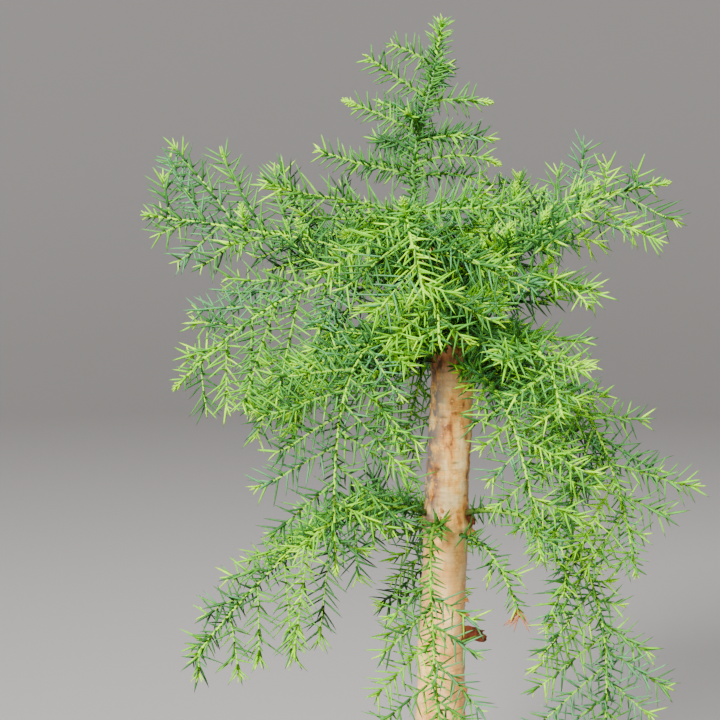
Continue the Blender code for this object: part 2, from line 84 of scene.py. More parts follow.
def clear_selection():
    """Leave edit mode and deselect everything."""
    if bpy.context.object and bpy.context.object.mode != "OBJECT":
        bpy.ops.object.mode_set(mode="OBJECT")
    bpy.ops.object.select_all(action="DESELECT")


# matt grey backdrop paper: no gloss at all
paper, tree, paper_shader = material("backdrop_paper", "8a8785", 0.9)
paper_shader.inputs["Specular IOR Level"].default_value = 0.1
clear_selection()
bpy.ops.mesh.primitive_circle_add(vertices=160, radius=SWEEP_RADIUS, fill_type="NGON")
floor = bpy.context.object
floor.name = "studio_floor"
bpy.ops.object.mode_set(mode="EDIT")
bpy.ops.mesh.select_all(action="SELECT")
bpy.ops.mesh.region_to_loop()
reach, level = SWEEP_RADIUS, 0.0
for out, up in SWEEP:
    bpy.ops.mesh.extrude_edges_move(TRANSFORM_OT_translate={"value": (0.0, 0.0, up - level)})
    bpy.ops.transform.resize(value=(out / reach, out / reach, 1.0), center_override=(0, 0, up))
    reach, level = out, up
bpy.ops.object.mode_set(mode="OBJECT")
bpy.ops.object.shade_smooth()
floor.data.materials.append(paper)

for name, (spot, size, power) in SOFT_BOXES.items():
    lamp = bpy.data.lights.new(name, "AREA")
    lamp.shape = "DISK"
    lamp.size = size
    lamp.energy = power
    box = bpy.data.objects.new(name, lamp)
    box.location = spot
    box.rotation_euler = (LIGHT_AIM - Vector(spot)).to_track_quat("-Z", "Y").to_euler()
    bpy.context.scene.collection.objects.link(box)

world = bpy.data.worlds.new("studio_air")
world.use_nodes = True
air = world.node_tree.nodes["Background"]
air.inputs["Color"].default_value = linear("eef0f2")
air.inputs["Strength"].default_value = AIR_LIGHT
bpy.context.scene.world = world

tilt = math.radians(CAMERA_TILT)
lens = bpy.data.cameras.new("camera")
lens.lens = CAMERA_LENS
lens.sensor_width = 36
camera = bpy.data.objects.new("camera", lens)
camera.location = CAMERA_AIM + Vector((0.0, -math.cos(tilt), math.sin(tilt))) * CAMERA_BACK
camera.rotation_euler = (math.pi / 2 - tilt, 0.0, 0.0)
bpy.context.scene.collection.objects.link(camera)
bpy.context.scene.camera = camera

# ---- Pot ---------------------------------------------------------------------
# A plain rectangular bonsai pot with rounded corners, a rolled lip and four low feet.
# Unglazed brown stoneware, pressed in a mould, sponged smooth and fired.
POT_HALF = (0.125, 0.090)
BASE_CORNER = 0.026
# outline of the wall, from under the floor, up the outside, over the lip and down the inside:
# inward from the lip's edge, height
POT_WALL = ((0.0135, 0.0090), (0.0110, 0.0093), (0.0102, 0.0110), (0.0066, 0.0400), (0.0040, 0.0595),
            (0.0032, 0.0608), (0.0006, 0.0618), (0.0, 0.0632), (0.0, 0.0695), (0.0010, 0.0714),
            (0.0030, 0.0720), (0.0090, 0.0720), (0.0106, 0.0712), (0.0112, 0.0690),
            (0.0160, 0.0300), (0.0180, 0.0180))
FOOT_SIZE = (0.036, 0.022, 0.012)
FOOT_PLACE = (0.0935, 0.0655)
FOOT_ROUND = 0.0045
DRAIN_PLACE = 0.055
DRAIN_RADIUS = 0.009


def add_node(tree, kind, inputs=None, ramp=None, **settings):
    """A node with its settings, its socket values or links, and its ramp's colours."""
    made = tree.nodes.new(kind)
    for key, value in settings.items():
        setattr(made, key, value)
    for key, value in (inputs or {}).items():
        if isinstance(value, bpy.types.NodeSocket):
            tree.links.new(value, made.inputs[key])
        else:
            made.inputs[key].default_value = value
    if ramp:
        steps = made.color_ramp.elements
        while len(steps) < len(ramp):
            steps.new(0.5)
        for step, (place, colour) in zip(steps, ramp):
            step.position = place
            step.color = linear(colour) if isinstance(colour, str) else (colour, colour, colour, 1.0)
    return made


# fired stoneware: warm brown, clouded every 35 mm by the fire, with a few iron specks half a
# millimetre across; its dry skin was dragged level by the sponge in lines 1 mm apart
stoneware, tree, shader = material("unglazed_stoneware", "57463b", 0.62)
place = add_node(tree, "ShaderNodeTexCoord")
cloud = add_node(tree, "ShaderNodeTexNoise",
                 {"Vector": place.outputs["Object"], "Scale": 28.0, "Detail": 5.0})
body = add_node(tree, "ShaderNodeValToRGB", {"Fac": cloud.outputs["Fac"]},
                ramp=((0.30, "33251c"), (0.52, "443227"), (0.72, "534033")))
specks = add_node(tree, "ShaderNodeTexVoronoi", {"Vector": place.outputs["Object"], "Scale": 620.0})
dots = add_node(tree, "ShaderNodeValToRGB", {"Fac": specks.outputs["Distance"]},
                ramp=((0.10, 1.0), (0.20, 0.0)))
sparse = add_node(tree, "ShaderNodeTexNoise",
                  {"Vector": place.outputs["Object"], "Scale": 210.0, "Detail": 2.0})
few = add_node(tree, "ShaderNodeValToRGB", {"Fac": sparse.outputs["Fac"]},
               ramp=((0.52, 0.0), (0.60, 1.0)))
mask = add_node(tree, "ShaderNodeMath", {0: dots.outputs["Color"], 1: few.outputs["Color"]},
                operation="MULTIPLY")
speckled = add_node(tree, "ShaderNodeMix", {"Factor": mask.outputs[0], "A": body.outputs["Color"],
                                            "B": linear("261c17")}, data_type="RGBA")
tree.links.new(speckled.outputs["Result"], shader.inputs["Base Color"])
dragged = add_node(tree, "ShaderNodeMapping",
                   {"Vector": place.outputs["Object"], "Scale": (60.0, 60.0, 900.0)})
wipe = add_node(tree, "ShaderNodeTexNoise", {"Vector": dragged.outputs[0], "Scale": 1.0, "Detail": 3.0})
grain = add_node(tree, "ShaderNodeTexNoise",
                 {"Vector": place.outputs["Object"], "Scale": 1500.0, "Detail": 2.0})
skin = add_node(tree, "ShaderNodeMath", {0: wipe.outputs["Fac"], 1: grain.outputs["Fac"]},
                operation="ADD")
relief = add_node(tree, "ShaderNodeBump", {"Height": skin.outputs[0], "Strength": 0.35,
                                           "Distance": 0.0003})
tree.links.new(relief.outputs["Normal"], shader.inputs["Normal"])

clear_selection()
inward, level = POT_WALL[0]
bpy.ops.mesh.primitive_plane_add(size=1.0, location=(0.0, 0.0, level))
pot = bpy.context.object
pot.name = "stoneware_pot"
bpy.ops.object.mode_set(mode="EDIT")
bpy.ops.mesh.select_all(action="SELECT")
wide = [half - inward for half in POT_HALF]
bpy.ops.transform.resize(value=(wide[0] * 2, wide[1] * 2, 1.0), center_override=(0.0, 0.0, level))
bpy.ops.mesh.bevel(offset=BASE_CORNER, segments=10, affect="VERTICES", profile=0.5)
for inward, height in POT_WALL[1:]:
    new = [half - inward for half in POT_HALF]
    bpy.ops.mesh.extrude_region_move(TRANSFORM_OT_translate={"value": (0.0, 0.0, height - level)})
    bpy.ops.transform.resize(value=(new[0] / wide[0], new[1] / wide[1], 1.0),
                             center_override=(0.0, 0.0, height))
    wide = new
    level = height
bpy.ops.mesh.select_all(action="SELECT")
bpy.ops.mesh.normals_make_consistent(inside=False)
bpy.ops.object.mode_set(mode="OBJECT")

clear_selection()
feet = []
for sx in (-1, 1):
    for sy in (-1, 1):
        bpy.ops.mesh.primitive_cube_add(size=1.0, location=(sx * FOOT_PLACE[0], sy * FOOT_PLACE[1],
                                                            FOOT_SIZE[2] / 2))
        foot = bpy.context.object
        bpy.ops.object.mode_set(mode="EDIT")
        bpy.ops.mesh.select_all(action="SELECT")
        bpy.ops.transform.resize(value=FOOT_SIZE, center_override=foot.location)
        bpy.ops.mesh.bevel(offset=FOOT_ROUND, segments=4, affect="EDGES", profile=0.6, clamp_overlap=True)
        bpy.ops.mesh.select_all(action="DESELECT")
        bpy.ops.object.mode_set(mode="OBJECT")
        bpy.ops.object.transform_apply(location=True, rotation=True, scale=True)
        feet.append(foot)
for side in (-1, 1):
    clear_selection()
    bpy.ops.mesh.primitive_cylinder_add(vertices=32, radius=DRAIN_RADIUS, depth=0.03,
                                        location=(side * DRAIN_PLACE, 0.0, 0.012))
    drain = bpy.context.object
    cut = pot.modifiers.new("drain", "BOOLEAN")
    cut.operation = "DIFFERENCE"
    cut.solver = "EXACT"
    cut.object = drain
    clear_selection()
    bpy.context.view_layer.objects.active = pot
    pot.select_set(True)
    bpy.ops.object.modifier_apply(modifier="drain")
    bpy.data.objects.remove(drain, do_unlink=True)
clear_selection()
for foot in feet:
    foot.select_set(True)
pot.select_set(True)
bpy.context.view_layer.objects.active = pot
bpy.ops.object.join()
bpy.ops.object.transform_apply(location=True, rotation=True, scale=True)
bpy.ops.object.shade_smooth_by_angle(angle=math.radians(38))
pot.data.materials.clear()
pot.data.materials.append(stoneware)
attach(pot, "root")
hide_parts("pot")

# ---- Soil --------------------------------------------------------------------
# A free-draining mix of baked clay, pumice and lava grit, sieved to 2 to 5 mm. It lies a
# little below the lip and mounds up to the trunk; a fine dark bed shows between the grains.
SOIL_HALF = (0.1129, 0.0779)
SOIL_CORNER = 0.026
SOIL_EDGE = 0.0655
SOIL_TOP = 0.0712
TRUNK_STANDS = 0.0142
BED_FLOOR = 0.0186
BED_SUNK = 0.0006               # the bed lies this far under the tops of the grains
GRAIN_PITCH = 0.0031
CLEAR_OF_TRUNK = 0.0195
# each kind of grit: colour, roughness, share
GRAINS = {
    "baked_clay_grit": ("87592f", 0.92, 0.46),
    "pumice_grit": ("9a8d76", 0.90, 0.16),
    "lava_grit": ("40271f", 0.95, 0.24),
    "dark_bark_crumb": ("3c2d22", 0.95, 0.14),
}


def soil_height(x, y):
    """Height of the soil's surface, mounding toward the trunk."""
    out = math.hypot((x - TRUNK_STANDS) / 0.105, y / 0.080)
    return SOIL_EDGE + (SOIL_TOP - SOIL_EDGE) * max(0.0, 1.0 - out ** 1.5)


# damp crumbly soil: nearly black, dull, in crumbs 1.5 mm across
bed_material, tree, shader = material("damp_soil", "33271e", 0.97)
place = add_node(tree, "ShaderNodeTexCoord")
crumb = add_node(tree, "ShaderNodeTexNoise",
                 {"Vector": place.outputs["Object"], "Scale": 700.0, "Detail": 4.0})
shade = add_node(tree, "ShaderNodeValToRGB", {"Fac": crumb.outputs["Fac"]},
                 ramp=((0.35, "21190f"), (0.65, "4b3a2b")))
tree.links.new(shade.outputs["Color"], shader.inputs["Base Color"])
relief = add_node(tree, "ShaderNodeBump", {"Height": crumb.outputs["Fac"], "Strength": 0.8,
                                           "Distance": 0.0006})
tree.links.new(relief.outputs["Normal"], shader.inputs["Normal"])

clear_selection()
bpy.ops.mesh.primitive_plane_add(size=1.0)
bed = bpy.context.object
bed.name = "soil_bed"
bpy.ops.object.mode_set(mode="EDIT")
bpy.ops.mesh.select_all(action="SELECT")
wide = [half - 0.0055 for half in SOIL_HALF]
bpy.ops.transform.resize(value=(wide[0] * 2, wide[1] * 2, 1.0))
bpy.ops.mesh.bevel(offset=SOIL_CORNER - 0.003, segments=10, affect="VERTICES", profile=0.5)
bpy.ops.transform.translate(value=(0.0, 0.0, BED_FLOOR))
height = BED_FLOOR
bed_wall = [(0.1110, 0.040), (0.1129, 0.0635), (0.1120, SOIL_EDGE - BED_SUNK)]
bed_rings = [(0.1120 - 0.0105 * step, SOIL_EDGE) for step in range(1, 11)]
for across, up in bed_wall + bed_rings:
    new = [across, across - SOIL_HALF[0] + SOIL_HALF[1]] if up < SOIL_EDGE else [
        across, SOIL_HALF[1] * across / SOIL_HALF[0]]
    bpy.ops.mesh.extrude_region_move(TRANSFORM_OT_translate={"value": (0.0, 0.0, up - height)})
    bpy.ops.transform.resize(value=(new[0] / wide[0], new[1] / wide[1], 1.0),
                             center_override=(0.0, 0.0, up))
    wide, height = new, up
bpy.ops.mesh.select_all(action="SELECT")
bpy.ops.mesh.normals_make_consistent(inside=False)
bpy.ops.object.mode_set(mode="OBJECT")
for vert in bed.data.vertices:
    if vert.co.z > SOIL_EDGE - 0.0001:
        vert.co.z = soil_height(vert.co.x, vert.co.y) - BED_SUNK
bpy.ops.object.shade_smooth_by_angle(angle=math.radians(40))
bed.data.materials.append(bed_material)
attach(bed, "root")
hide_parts("soil")


def drifting(name, code, rough, pitch, detail, low, high):
    """A material of one colour that drifts between a darker and a lighter share of itself."""
    made, tree, shader = material(name, code, rough)
    place = add_node(tree, "ShaderNodeTexCoord")
    cloud = add_node(tree, "ShaderNodeTexNoise",
                     {"Vector": place.outputs["Object"], "Scale": pitch, "Detail": detail})
    tone = add_node(tree, "ShaderNodeValToRGB", {"Fac": cloud.outputs["Fac"]},
                    ramp=((0.30, low), (0.70, high)))
    both = add_node(tree, "ShaderNodeMix", {"Factor": 1.0, "A": linear(code),
                                            "B": tone.outputs["Color"]},
                    data_type="RGBA", blend_type="MULTIPLY")
    tree.links.new(both.outputs["Result"], shader.inputs["Base Color"])
    return made


random.seed(5)
clear_selection()
bpy.ops.mesh.primitive_ico_sphere_add(subdivisions=1, radius=1.0)
pebble = bpy.context.object
pebble_verts = np.array([tuple(v.co) for v in pebble.data.vertices])
pebble_faces = [tuple(p.vertices) for p in pebble.data.polygons]
bpy.data.objects.remove(pebble, do_unlink=True)
grain_verts = []
grain_faces = []
grain_kinds = []
shares = [values[2] for values in GRAINS.values()]
columns = int(SOIL_HALF[0] * 2 / GRAIN_PITCH)
rows = int(SOIL_HALF[1] * 2 / GRAIN_PITCH)
for row in range(rows):
    for column in range(columns):
        x = -SOIL_HALF[0] + (column + 0.5 + 0.5 * (row % 2)) * GRAIN_PITCH + random.gauss(0, 0.0006)
        y = -SOIL_HALF[1] + (row + 0.5) * GRAIN_PITCH + random.gauss(0, 0.0006)
        size = random.uniform(0.0010, 0.0021) * (1.25 if random.random() < 0.12 else 1.0)
        over_x = max(0.0, abs(x) - (SOIL_HALF[0] - SOIL_CORNER))
        over_y = max(0.0, abs(y) - (SOIL_HALF[1] - SOIL_CORNER))
        if math.hypot(over_x, over_y) > SOIL_CORNER - size * 0.9:
            continue
        if math.hypot(x - TRUNK_STANDS, y) < CLEAR_OF_TRUNK:
            continue
        turn = Matrix.Rotation(random.uniform(0, 6.28), 3,
                               Vector((random.gauss(0, 1), random.gauss(0, 1), 1.0)))
        stretch = np.array([random.uniform(0.85, 1.2), random.uniform(0.8, 1.1),
                            random.uniform(0.6, 0.9)])
        rough = 1.0 + np.array([[random.uniform(-0.20, 0.18)] for _ in range(12)])
        shape = (pebble_verts * rough * stretch * size) @ np.array(turn).T
        centre = np.array([x, y, soil_height(x, y) + size * random.uniform(-0.1, 0.3)])
        base = len(grain_verts) * 12
        grain_verts.append(shape + centre)
        grain_faces += [tuple(base + v for v in face) for face in pebble_faces]
        grain_kinds += [random.choices(range(4), shares)[0]] * len(pebble_faces)
mesh = bpy.data.meshes.new("soil_grit")
mesh.from_pydata(np.vstack(grain_verts).tolist(), [], grain_faces)
mesh.polygons.foreach_set("material_index", grain_kinds)
grit = bpy.data.objects.new("soil_grit", mesh)
bpy.context.scene.collection.objects.link(grit)
for name, (code, rough, share) in GRAINS.items():
    # dry grit: dull and dusty, in patches of lighter and darker dust 2 mm across
    mesh.materials.append(drifting(name, code, rough, 420.0, 3.0, 0.55, 1.25))
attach(grit, "root")

# ---- Trunk -------------------------------------------------------------------
# One young trunk, thick at the foot, that carries its taper through three whorls of boughs to
# a green leader. Its thin bark is smooth and honey gold, with corky dots, faint ring scars, a
# swollen ring at the lowest whorl and grey old skin down one side.
TRUNK_FOOT = 0.0725
# height, lean from the foot along X, radius
TRUNK = (
    (TRUNK_FOOT, 0.0000, 0.0245),
    (0.0790, 0.0001, 0.0200),
    (0.0920, 0.0003, 0.0168),
    (0.1150, 0.0008, 0.0150),
    (0.1750, 0.0018, 0.0138),
    (0.2220, 0.0022, 0.0126),
    (0.2640, 0.0040, 0.0122),
    (0.2770, 0.0045, 0.0138),
    (0.2900, 0.0042, 0.0120),
    (0.3350, 0.0065, 0.0118),
    (0.3600, 0.0074, 0.0116),
    (0.3750, 0.0070, 0.0106),
    (0.3900, 0.0052, 0.0092),
    (0.4050, 0.0008, 0.0078),
    (0.4200, -0.0050, 0.0060),
    (0.4360, -0.0105, 0.0038),
    (0.4530, -0.0138, 0.0020),
    (0.4700, -0.0154, 0.0015),
    (0.4940, -0.0117, 0.0013),
    (0.5180, -0.0052, 0.0011),
    (0.5360, -0.0020, 0.0009),
)
TRUNK_SIDES = 120
TRUNK_CUTS = (20, 21)           # two rounds of cuts make 462 levels, 1 mm apart
TRUNK_STEP = 0.001
SOFTENED = 9                    # steps that each bend and change of girth is softened over
FLARE_STEPS = 12                # the foot's flare keeps its hard start
NODE_HEIGHT = 0.2775            # the swollen ring where the lowest whorl of boughs stands
OLD_RINGS = (0.118, 0.150, 0.196, 0.232, 0.312, 0.338)
# cracks and scars, sunk and painted dark as shade: bearing, height, half width, half height
CRACKS = (
    (-2.25, 0.2800, 0.0060, 0.0016), (-2.60, 0.2790, 0.0040, 0.0022), (-1.75, 0.2772, 0.0030, 0.0009),
    (-0.55, 0.2812, 0.0026, 0.0040), (-0.95, 0.2745, 0.0030, 0.0008), (0.9, 0.2790, 0.0060, 0.0014),
    (2.3, 0.2800, 0.0050, 0.0014), (-1.3, 0.3125, 0.0022, 0.0006), (-2.0, 0.3380, 0.0030, 0.0007),
    (-1.1, 0.3400, 0.0018, 0.0006), (-0.7, 0.3260, 0.0016, 0.0022), (-2.1, 0.3090, 0.0018, 0.0018),
    (-0.45, 0.3050, 0.0015, 0.0030), (-1.9, 0.2320, 0.0030, 0.0006), (-0.8, 0.1960, 0.0026, 0.0006),
)
LENTICELS = 380
LENTICEL_SIZES = (0.0005, 0.0006, 0.0008, 0.0010)
SPECKS = 170
DRAWERS = 250                   # a metre: the lenticels are filed by height, 4 mm a drawer

trunk_z = np.arange(TRUNK_FOOT, TRUNK[-1][0], TRUNK_STEP)
table = np.array(TRUNK)
soft = np.ones(SOFTENED) / SOFTENED
lean_line = np.interp(trunk_z, table[:, 0], table[:, 1])
girth_line = np.interp(trunk_z, table[:, 0], table[:, 2])
pad = SOFTENED // 2
lean_line[pad:-pad] = np.convolve(lean_line, soft, "valid")
girth_line[pad + FLARE_STEPS:-pad] = np.convolve(girth_line, soft, "valid")[FLARE_STEPS:]


def trunk_axis(height):
    """Centre and radius of the trunk at a height."""
    lean = float(np.interp(height, trunk_z, lean_line))
    return Vector((TRUNK_STANDS + lean, 0.0, height)), float(np.interp(height, trunk_z, girth_line))


# smooth juvenile bark: honey gold with a dull gloss, grey where the old skin stays on
bark, tree, shader = material("smooth_hoop_bark", "e0a45a", 0.36)
shader.inputs["Specular IOR Level"].default_value = 0.45
place = add_node(tree, "ShaderNodeTexCoord")
split = add_node(tree, "ShaderNodeSeparateXYZ", {"Vector": place.outputs["Object"]})
bark_value = {"height": split.outputs["Z"]}
for name in ("flank", "cork", "stain"):
    bark_value[name] = add_node(tree, "ShaderNodeAttribute", attribute_name=name).outputs["Fac"]
# patterns stretched along each axis, per metre: the scale, the detail and the roughness
PATTERNS = {
    "patch": ((135.0, 135.0, 85.0), 5.0, 0.62),         # blotches 7 to 12 mm across
    "bands": ((70.0, 70.0, 560.0), 4.0, 0.55),          # level bands 2 mm apart
    "fibres": ((620.0, 620.0, 70.0), 3.0, 0.60),        # upright fibres, coarse enough to show
    "wrinkles": ((110.0, 110.0, 1500.0), 2.0, 0.50),    # thin level wrinkles, 0.7 mm apart
    "mottle": ((150.0, 150.0, 105.0), 4.0, 0.62),       # blots 7 to 10 mm across
    "cleft": ((190.0, 190.0, 120.0), 4.0, 0.60),        # plates of cork 5 to 8 mm across
}
for name, (scale, detail, rough) in PATTERNS.items():
    drawn = add_node(tree, "ShaderNodeMapping", {"Vector": place.outputs["Object"], "Scale": scale})
    bark_value[name] = add_node(tree, "ShaderNodeTexNoise", {
        "Vector": drawn.outputs[0], "Scale": 1.0, "Detail": detail, "Roughness": rough}).outputs["Fac"]
# colours and tones read from those patterns
BARK_RAMPS = {
    "ground": ("patch", ((0.30, "8a4c16"), (0.40, "eea044"), (0.49, "ffc25e"), (0.61, "ffdc94"))),
    "band_tone": ("bands", ((0.32, 0.62), (0.46, 1.0), (0.70, 1.08))),
    "fibre_tone": ("fibres", ((0.36, 0.66), (0.52, 1.0), (0.72, 1.10))),
    "wrinkle_tone": ("wrinkles", ((0.34, 0.60), (0.44, 1.0))),
    "blots": ("mottle", ((0.40, 0.0), (0.52, 1.0))),
    "halo": ("cork", ((0.04, 0.0), (0.20, 0.30), (0.34, 0.30), (0.55, 0.0))),
    "plates": ("cleft", ((0.38, "5a2a14"), (0.50, "c0703c"), (0.66, "e2945c"))),
}
for name, (source, ramp) in BARK_RAMPS.items():
    bark_value[name] = add_node(tree, "ShaderNodeValToRGB", {"Fac": bark_value[source]},
                                ramp=ramp).outputs["Color"]
# where each coat lies: what it follows, where it starts and ends, how strong it is at each
ZONES = {
    # painted shade: the right flank, turned from the key light, darker brown
    "brown_side": ("flank", 0.50, 1.0, 0.0, 0.60),
    "grey_side": ("flank", -0.15, -0.75, 0.0, 1.0),
    "above_node": ("height", 0.262, 0.290, 0.35, 0.95),
    "corky": ("cork", 0.35, 0.62, 0.0, 1.0),
    # painted shade in the sunk cracks, and dark brown specks
    "dirty": ("stain", 0.0, 1.0, 0.0, 0.9),
    "peeled": ("height", 0.285, 0.250, 0.0, 0.35),
    "crown": ("height", 0.350, 0.368, 0.0, 0.9),
    "green": ("height", 0.414, 0.436, 0.0, 1.0),
    "splashed": ("height", 0.102, 0.072, 0.0, 0.9),
}
for name, (source, low, high, start, end) in ZONES.items():
    bark_value[name] = add_node(tree, "ShaderNodeMapRange", {
        "Value": bark_value[source], "From Min": low, "From Max": high,
        "To Min": start, "To Max": end}).outputs[0]
for name, one, other in (("grey_upper", "grey_side", "above_node"), ("grey_blots", "grey_upper", "blots"),
                         ("splash", "splashed", "mottle")):
    bark_value[name] = add_node(tree, "ShaderNodeMath", {0: bark_value[one], 1: bark_value[other]},
                                operation="MULTIPLY").outputs[0]
# the coats, from the bark's ground up: how much, what colour or tone, how it is laid
COATS = (
    (0.5, "band_tone", "MULTIPLY"),
    (0.4, "fibre_tone", "MULTIPLY"),
    (0.45, "wrinkle_tone", "MULTIPLY"),
    # painted shade down the right flank
    ("brown_side", "8c5522", "MIX"),
    ("grey_blots", "6f6868", "MIX"),        # old blue-grey skin left on one flank, in blots
    ("halo", "8a5526", "MIX"),              # a brown rim round each lenticel
    ("corky", "ffba5c", "MIX"),             # lenticels: raised corky dots the colour of honey
    ("dirty", "43240f", "MIX"),             # painted shade in the cracks round the node and below, and dark brown specks
    ("peeled", "ffc07a", "MIX"),            # peachy new skin under the node
    ("crown", "plates", "MIX"),             # pinkish cork, split into plates, at the crown whorls
    ("green", "3f6e24", "MIX"),             # green stem of the leader
    ("splash", "4a3826", "MIX"),            # earth splashed on the foot by watering
)
colour = bark_value["ground"]
for factor, above, blend in COATS:
    colour = add_node(tree, "ShaderNodeMix", {
        "Factor": bark_value.get(factor, factor), "A": colour,
        "B": bark_value[above] if above in bark_value else linear(above)},
        data_type="RGBA", blend_type=blend).outputs["Result"]
tree.links.new(colour, shader.inputs["Base Color"])
fine = add_node(tree, "ShaderNodeTexNoise",
                {"Vector": place.outputs["Object"], "Scale": 900.0, "Detail": 3.0})
raised = bark_value["bands"]
for more in (bark_value["patch"], fine.outputs["Fac"]):
    raised = add_node(tree, "ShaderNodeMath", {0: raised, 1: more}, operation="ADD").outputs[0]
relief = add_node(tree, "ShaderNodeBump", {"Height": raised, "Strength": 0.6, "Distance": 0.0005})
tree.links.new(relief.outputs["Normal"], shader.inputs["Normal"])

clear_selection()
bpy.ops.mesh.primitive_cylinder_add(vertices=TRUNK_SIDES, radius=1.0, depth=1.0, end_fill_type="NGON",
                                    location=(0.0, 0.0, 0.0))
trunk = bpy.context.object
trunk.name = "bark_trunk"
bpy.ops.object.mode_set(mode="EDIT")
bpy.ops.mesh.select_all(action="DESELECT")
edit = bmesh.from_edit_mesh(trunk.data)
for cuts in TRUNK_CUTS:
    for edge in edit.edges:
        edge.select_set(abs(edge.verts[0].co.z - edge.verts[1].co.z) > 0.01)
    bmesh.update_edit_mesh(trunk.data)
    bpy.ops.mesh.subdivide(number_cuts=cuts, smoothness=0.0)
    edit = bmesh.from_edit_mesh(trunk.data)
bpy.ops.object.mode_set(mode="OBJECT")
random.seed(23)
dots = [(random.uniform(-math.pi, math.pi), random.uniform(0.110, 0.372), random.choice(LENTICEL_SIZES))
        for _ in range(LENTICELS)]
# so that each point of the bark looks in one drawer, a dot lies in its own and the next ones
by_height = {}
for turn, height, size in dots:
    for drawer in range(int(height * DRAWERS) - 1, int(height * DRAWERS) + 2):
        by_height.setdefault(drawer, []).append((turn, height, size))
specks = [(random.uniform(-math.pi, math.pi), random.uniform(0.090, 0.365),
           random.uniform(0.0006, 0.0018), random.uniform(0.0004, 0.0010)) for _ in range(SPECKS)]
corky_spots = np.zeros(len(trunk.data.vertices))
shade_and_speck_values = np.zeros(len(trunk.data.vertices))
flanks = np.zeros(len(trunk.data.vertices))
flat = np.empty(len(trunk.data.vertices) * 3)
trunk.data.vertices.foreach_get("co", flat)
shape = flat.reshape(-1, 3)
bottom = TRUNK_FOOT - 0.0015        # let in to the soil
for index, vert in enumerate(shape):
    around = math.atan2(vert[1], vert[0])
    height = bottom + (vert[2] + 0.5) * (TRUNK[-1][0] - bottom)
    centre, radius = trunk_axis(max(height, TRUNK_FOOT))
    cx, cy = math.cos(around), math.sin(around)
    spot = Vector((cx * 0.013, cy * 0.013, height))
    stout = min(1.0, radius / 0.010)
    # buttresses at the foot
    foot = max(0.0, (0.104 - height) / 0.032)
    radius *= 1.0 + 0.10 * foot * math.sin(5 * around + 0.6) + 0.05 * foot * math.sin(9 * around)
    # slow unevenness, level wrinkles and fine grain
    radius += stout * 0.00055 * noise.fractal(spot * 60.0, 0.8, 2.0, 3)
    level = Vector((cx * 0.55, cy * 0.55, height * 330.0))
    radius += stout * 0.00022 * noise.fractal(level, 0.7, 2.0, 3)
    warped = height + 0.0012 * math.sin(2 * around + 1.0) + 0.0008 * noise.noise(spot * 90.0)
    # the node: a lip over a groove, rougher than the rest
    off = (warped - NODE_HEIGHT) / 0.0042
    radius += 0.0009 * math.exp(-off * off) * (1.0 + 0.6 * noise.noise(spot * 420.0))
    under = (warped - NODE_HEIGHT + 0.0075) / 0.0016
    radius -= 0.0006 * math.exp(-under * under)
    # old scars of shed whorls, faint rings
    for scar in OLD_RINGS:
        ring = (warped - scar) / 0.0013
        radius += 0.00028 * math.exp(-ring * ring) * (1.0 + noise.noise(spot * 200.0))
    # lenticels, wider than tall
    for turn, at, size in by_height.get(int(height * DRAWERS), ()):
        across = (around - turn + math.pi) % (2 * math.pi) - math.pi
        gap = math.hypot(across * radius / (size * 1.5), (height - at) / size)
        if gap < 1.6:
            swell = math.exp(-gap * gap * 1.3)
            radius += 0.40 * size * swell
            corky_spots[index] = max(corky_spots[index], swell)
    # cracks and specks: sunk, the cracks painted dark as shade and the specks dark brown
    for k, (turn, at, wide, tall) in enumerate((*CRACKS, *specks)):
        if abs(height - at) > tall * 2.5:
            continue
        across = (around - turn + math.pi) % (2 * math.pi) - math.pi
        wobble = 0.5 * noise.noise(spot * 500.0)
        gap = math.hypot(across * 0.012 / wide, (height - at) / tall + wobble)
        if gap < 2.0:
            sunk = math.exp(-gap * gap * 1.2)
            radius -= sunk * min(0.0007, tall * 0.45)
            shade_and_speck_values[index] = max(shade_and_speck_values[index], sunk * (1.0 if k < len(CRACKS) else 0.55))
    flanks[index] = cx
    # cork fissures among the crown's whorls
    if 0.345 < height < 0.43:
        grow = min(1.0, (height - 0.345) / 0.02)
        cleft = noise.fractal(Vector((cx * 3.2, cy * 3.2, height * 95.0)), 0.6, 2.1, 4)
        radius += grow * 0.0008 * cleft
    vert[:] = (centre.x + cx * radius, cy * radius, height)
trunk.data.vertices.foreach_set("co", shape.ravel())
for name, values in (("cork", corky_spots), ("stain", shade_and_speck_values), ("flank", flanks)):
    trunk.data.attributes.new(name, "FLOAT", "POINT").data.foreach_set("value", values)
trunk.data.update()
bpy.ops.object.shade_smooth_by_angle(angle=math.radians(50))
trunk.data.materials.append(bark)
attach(trunk, "root")
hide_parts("trunk")

# ---- Loose bark --------------------------------------------------------------
# Scraps of the thin outer bark that have split and curled away from the trunk, dry and
# papery: one long red-brown flake, a dead stub's sheath by the node, and some orange curls.
SCRAP_THICK = 0.0004
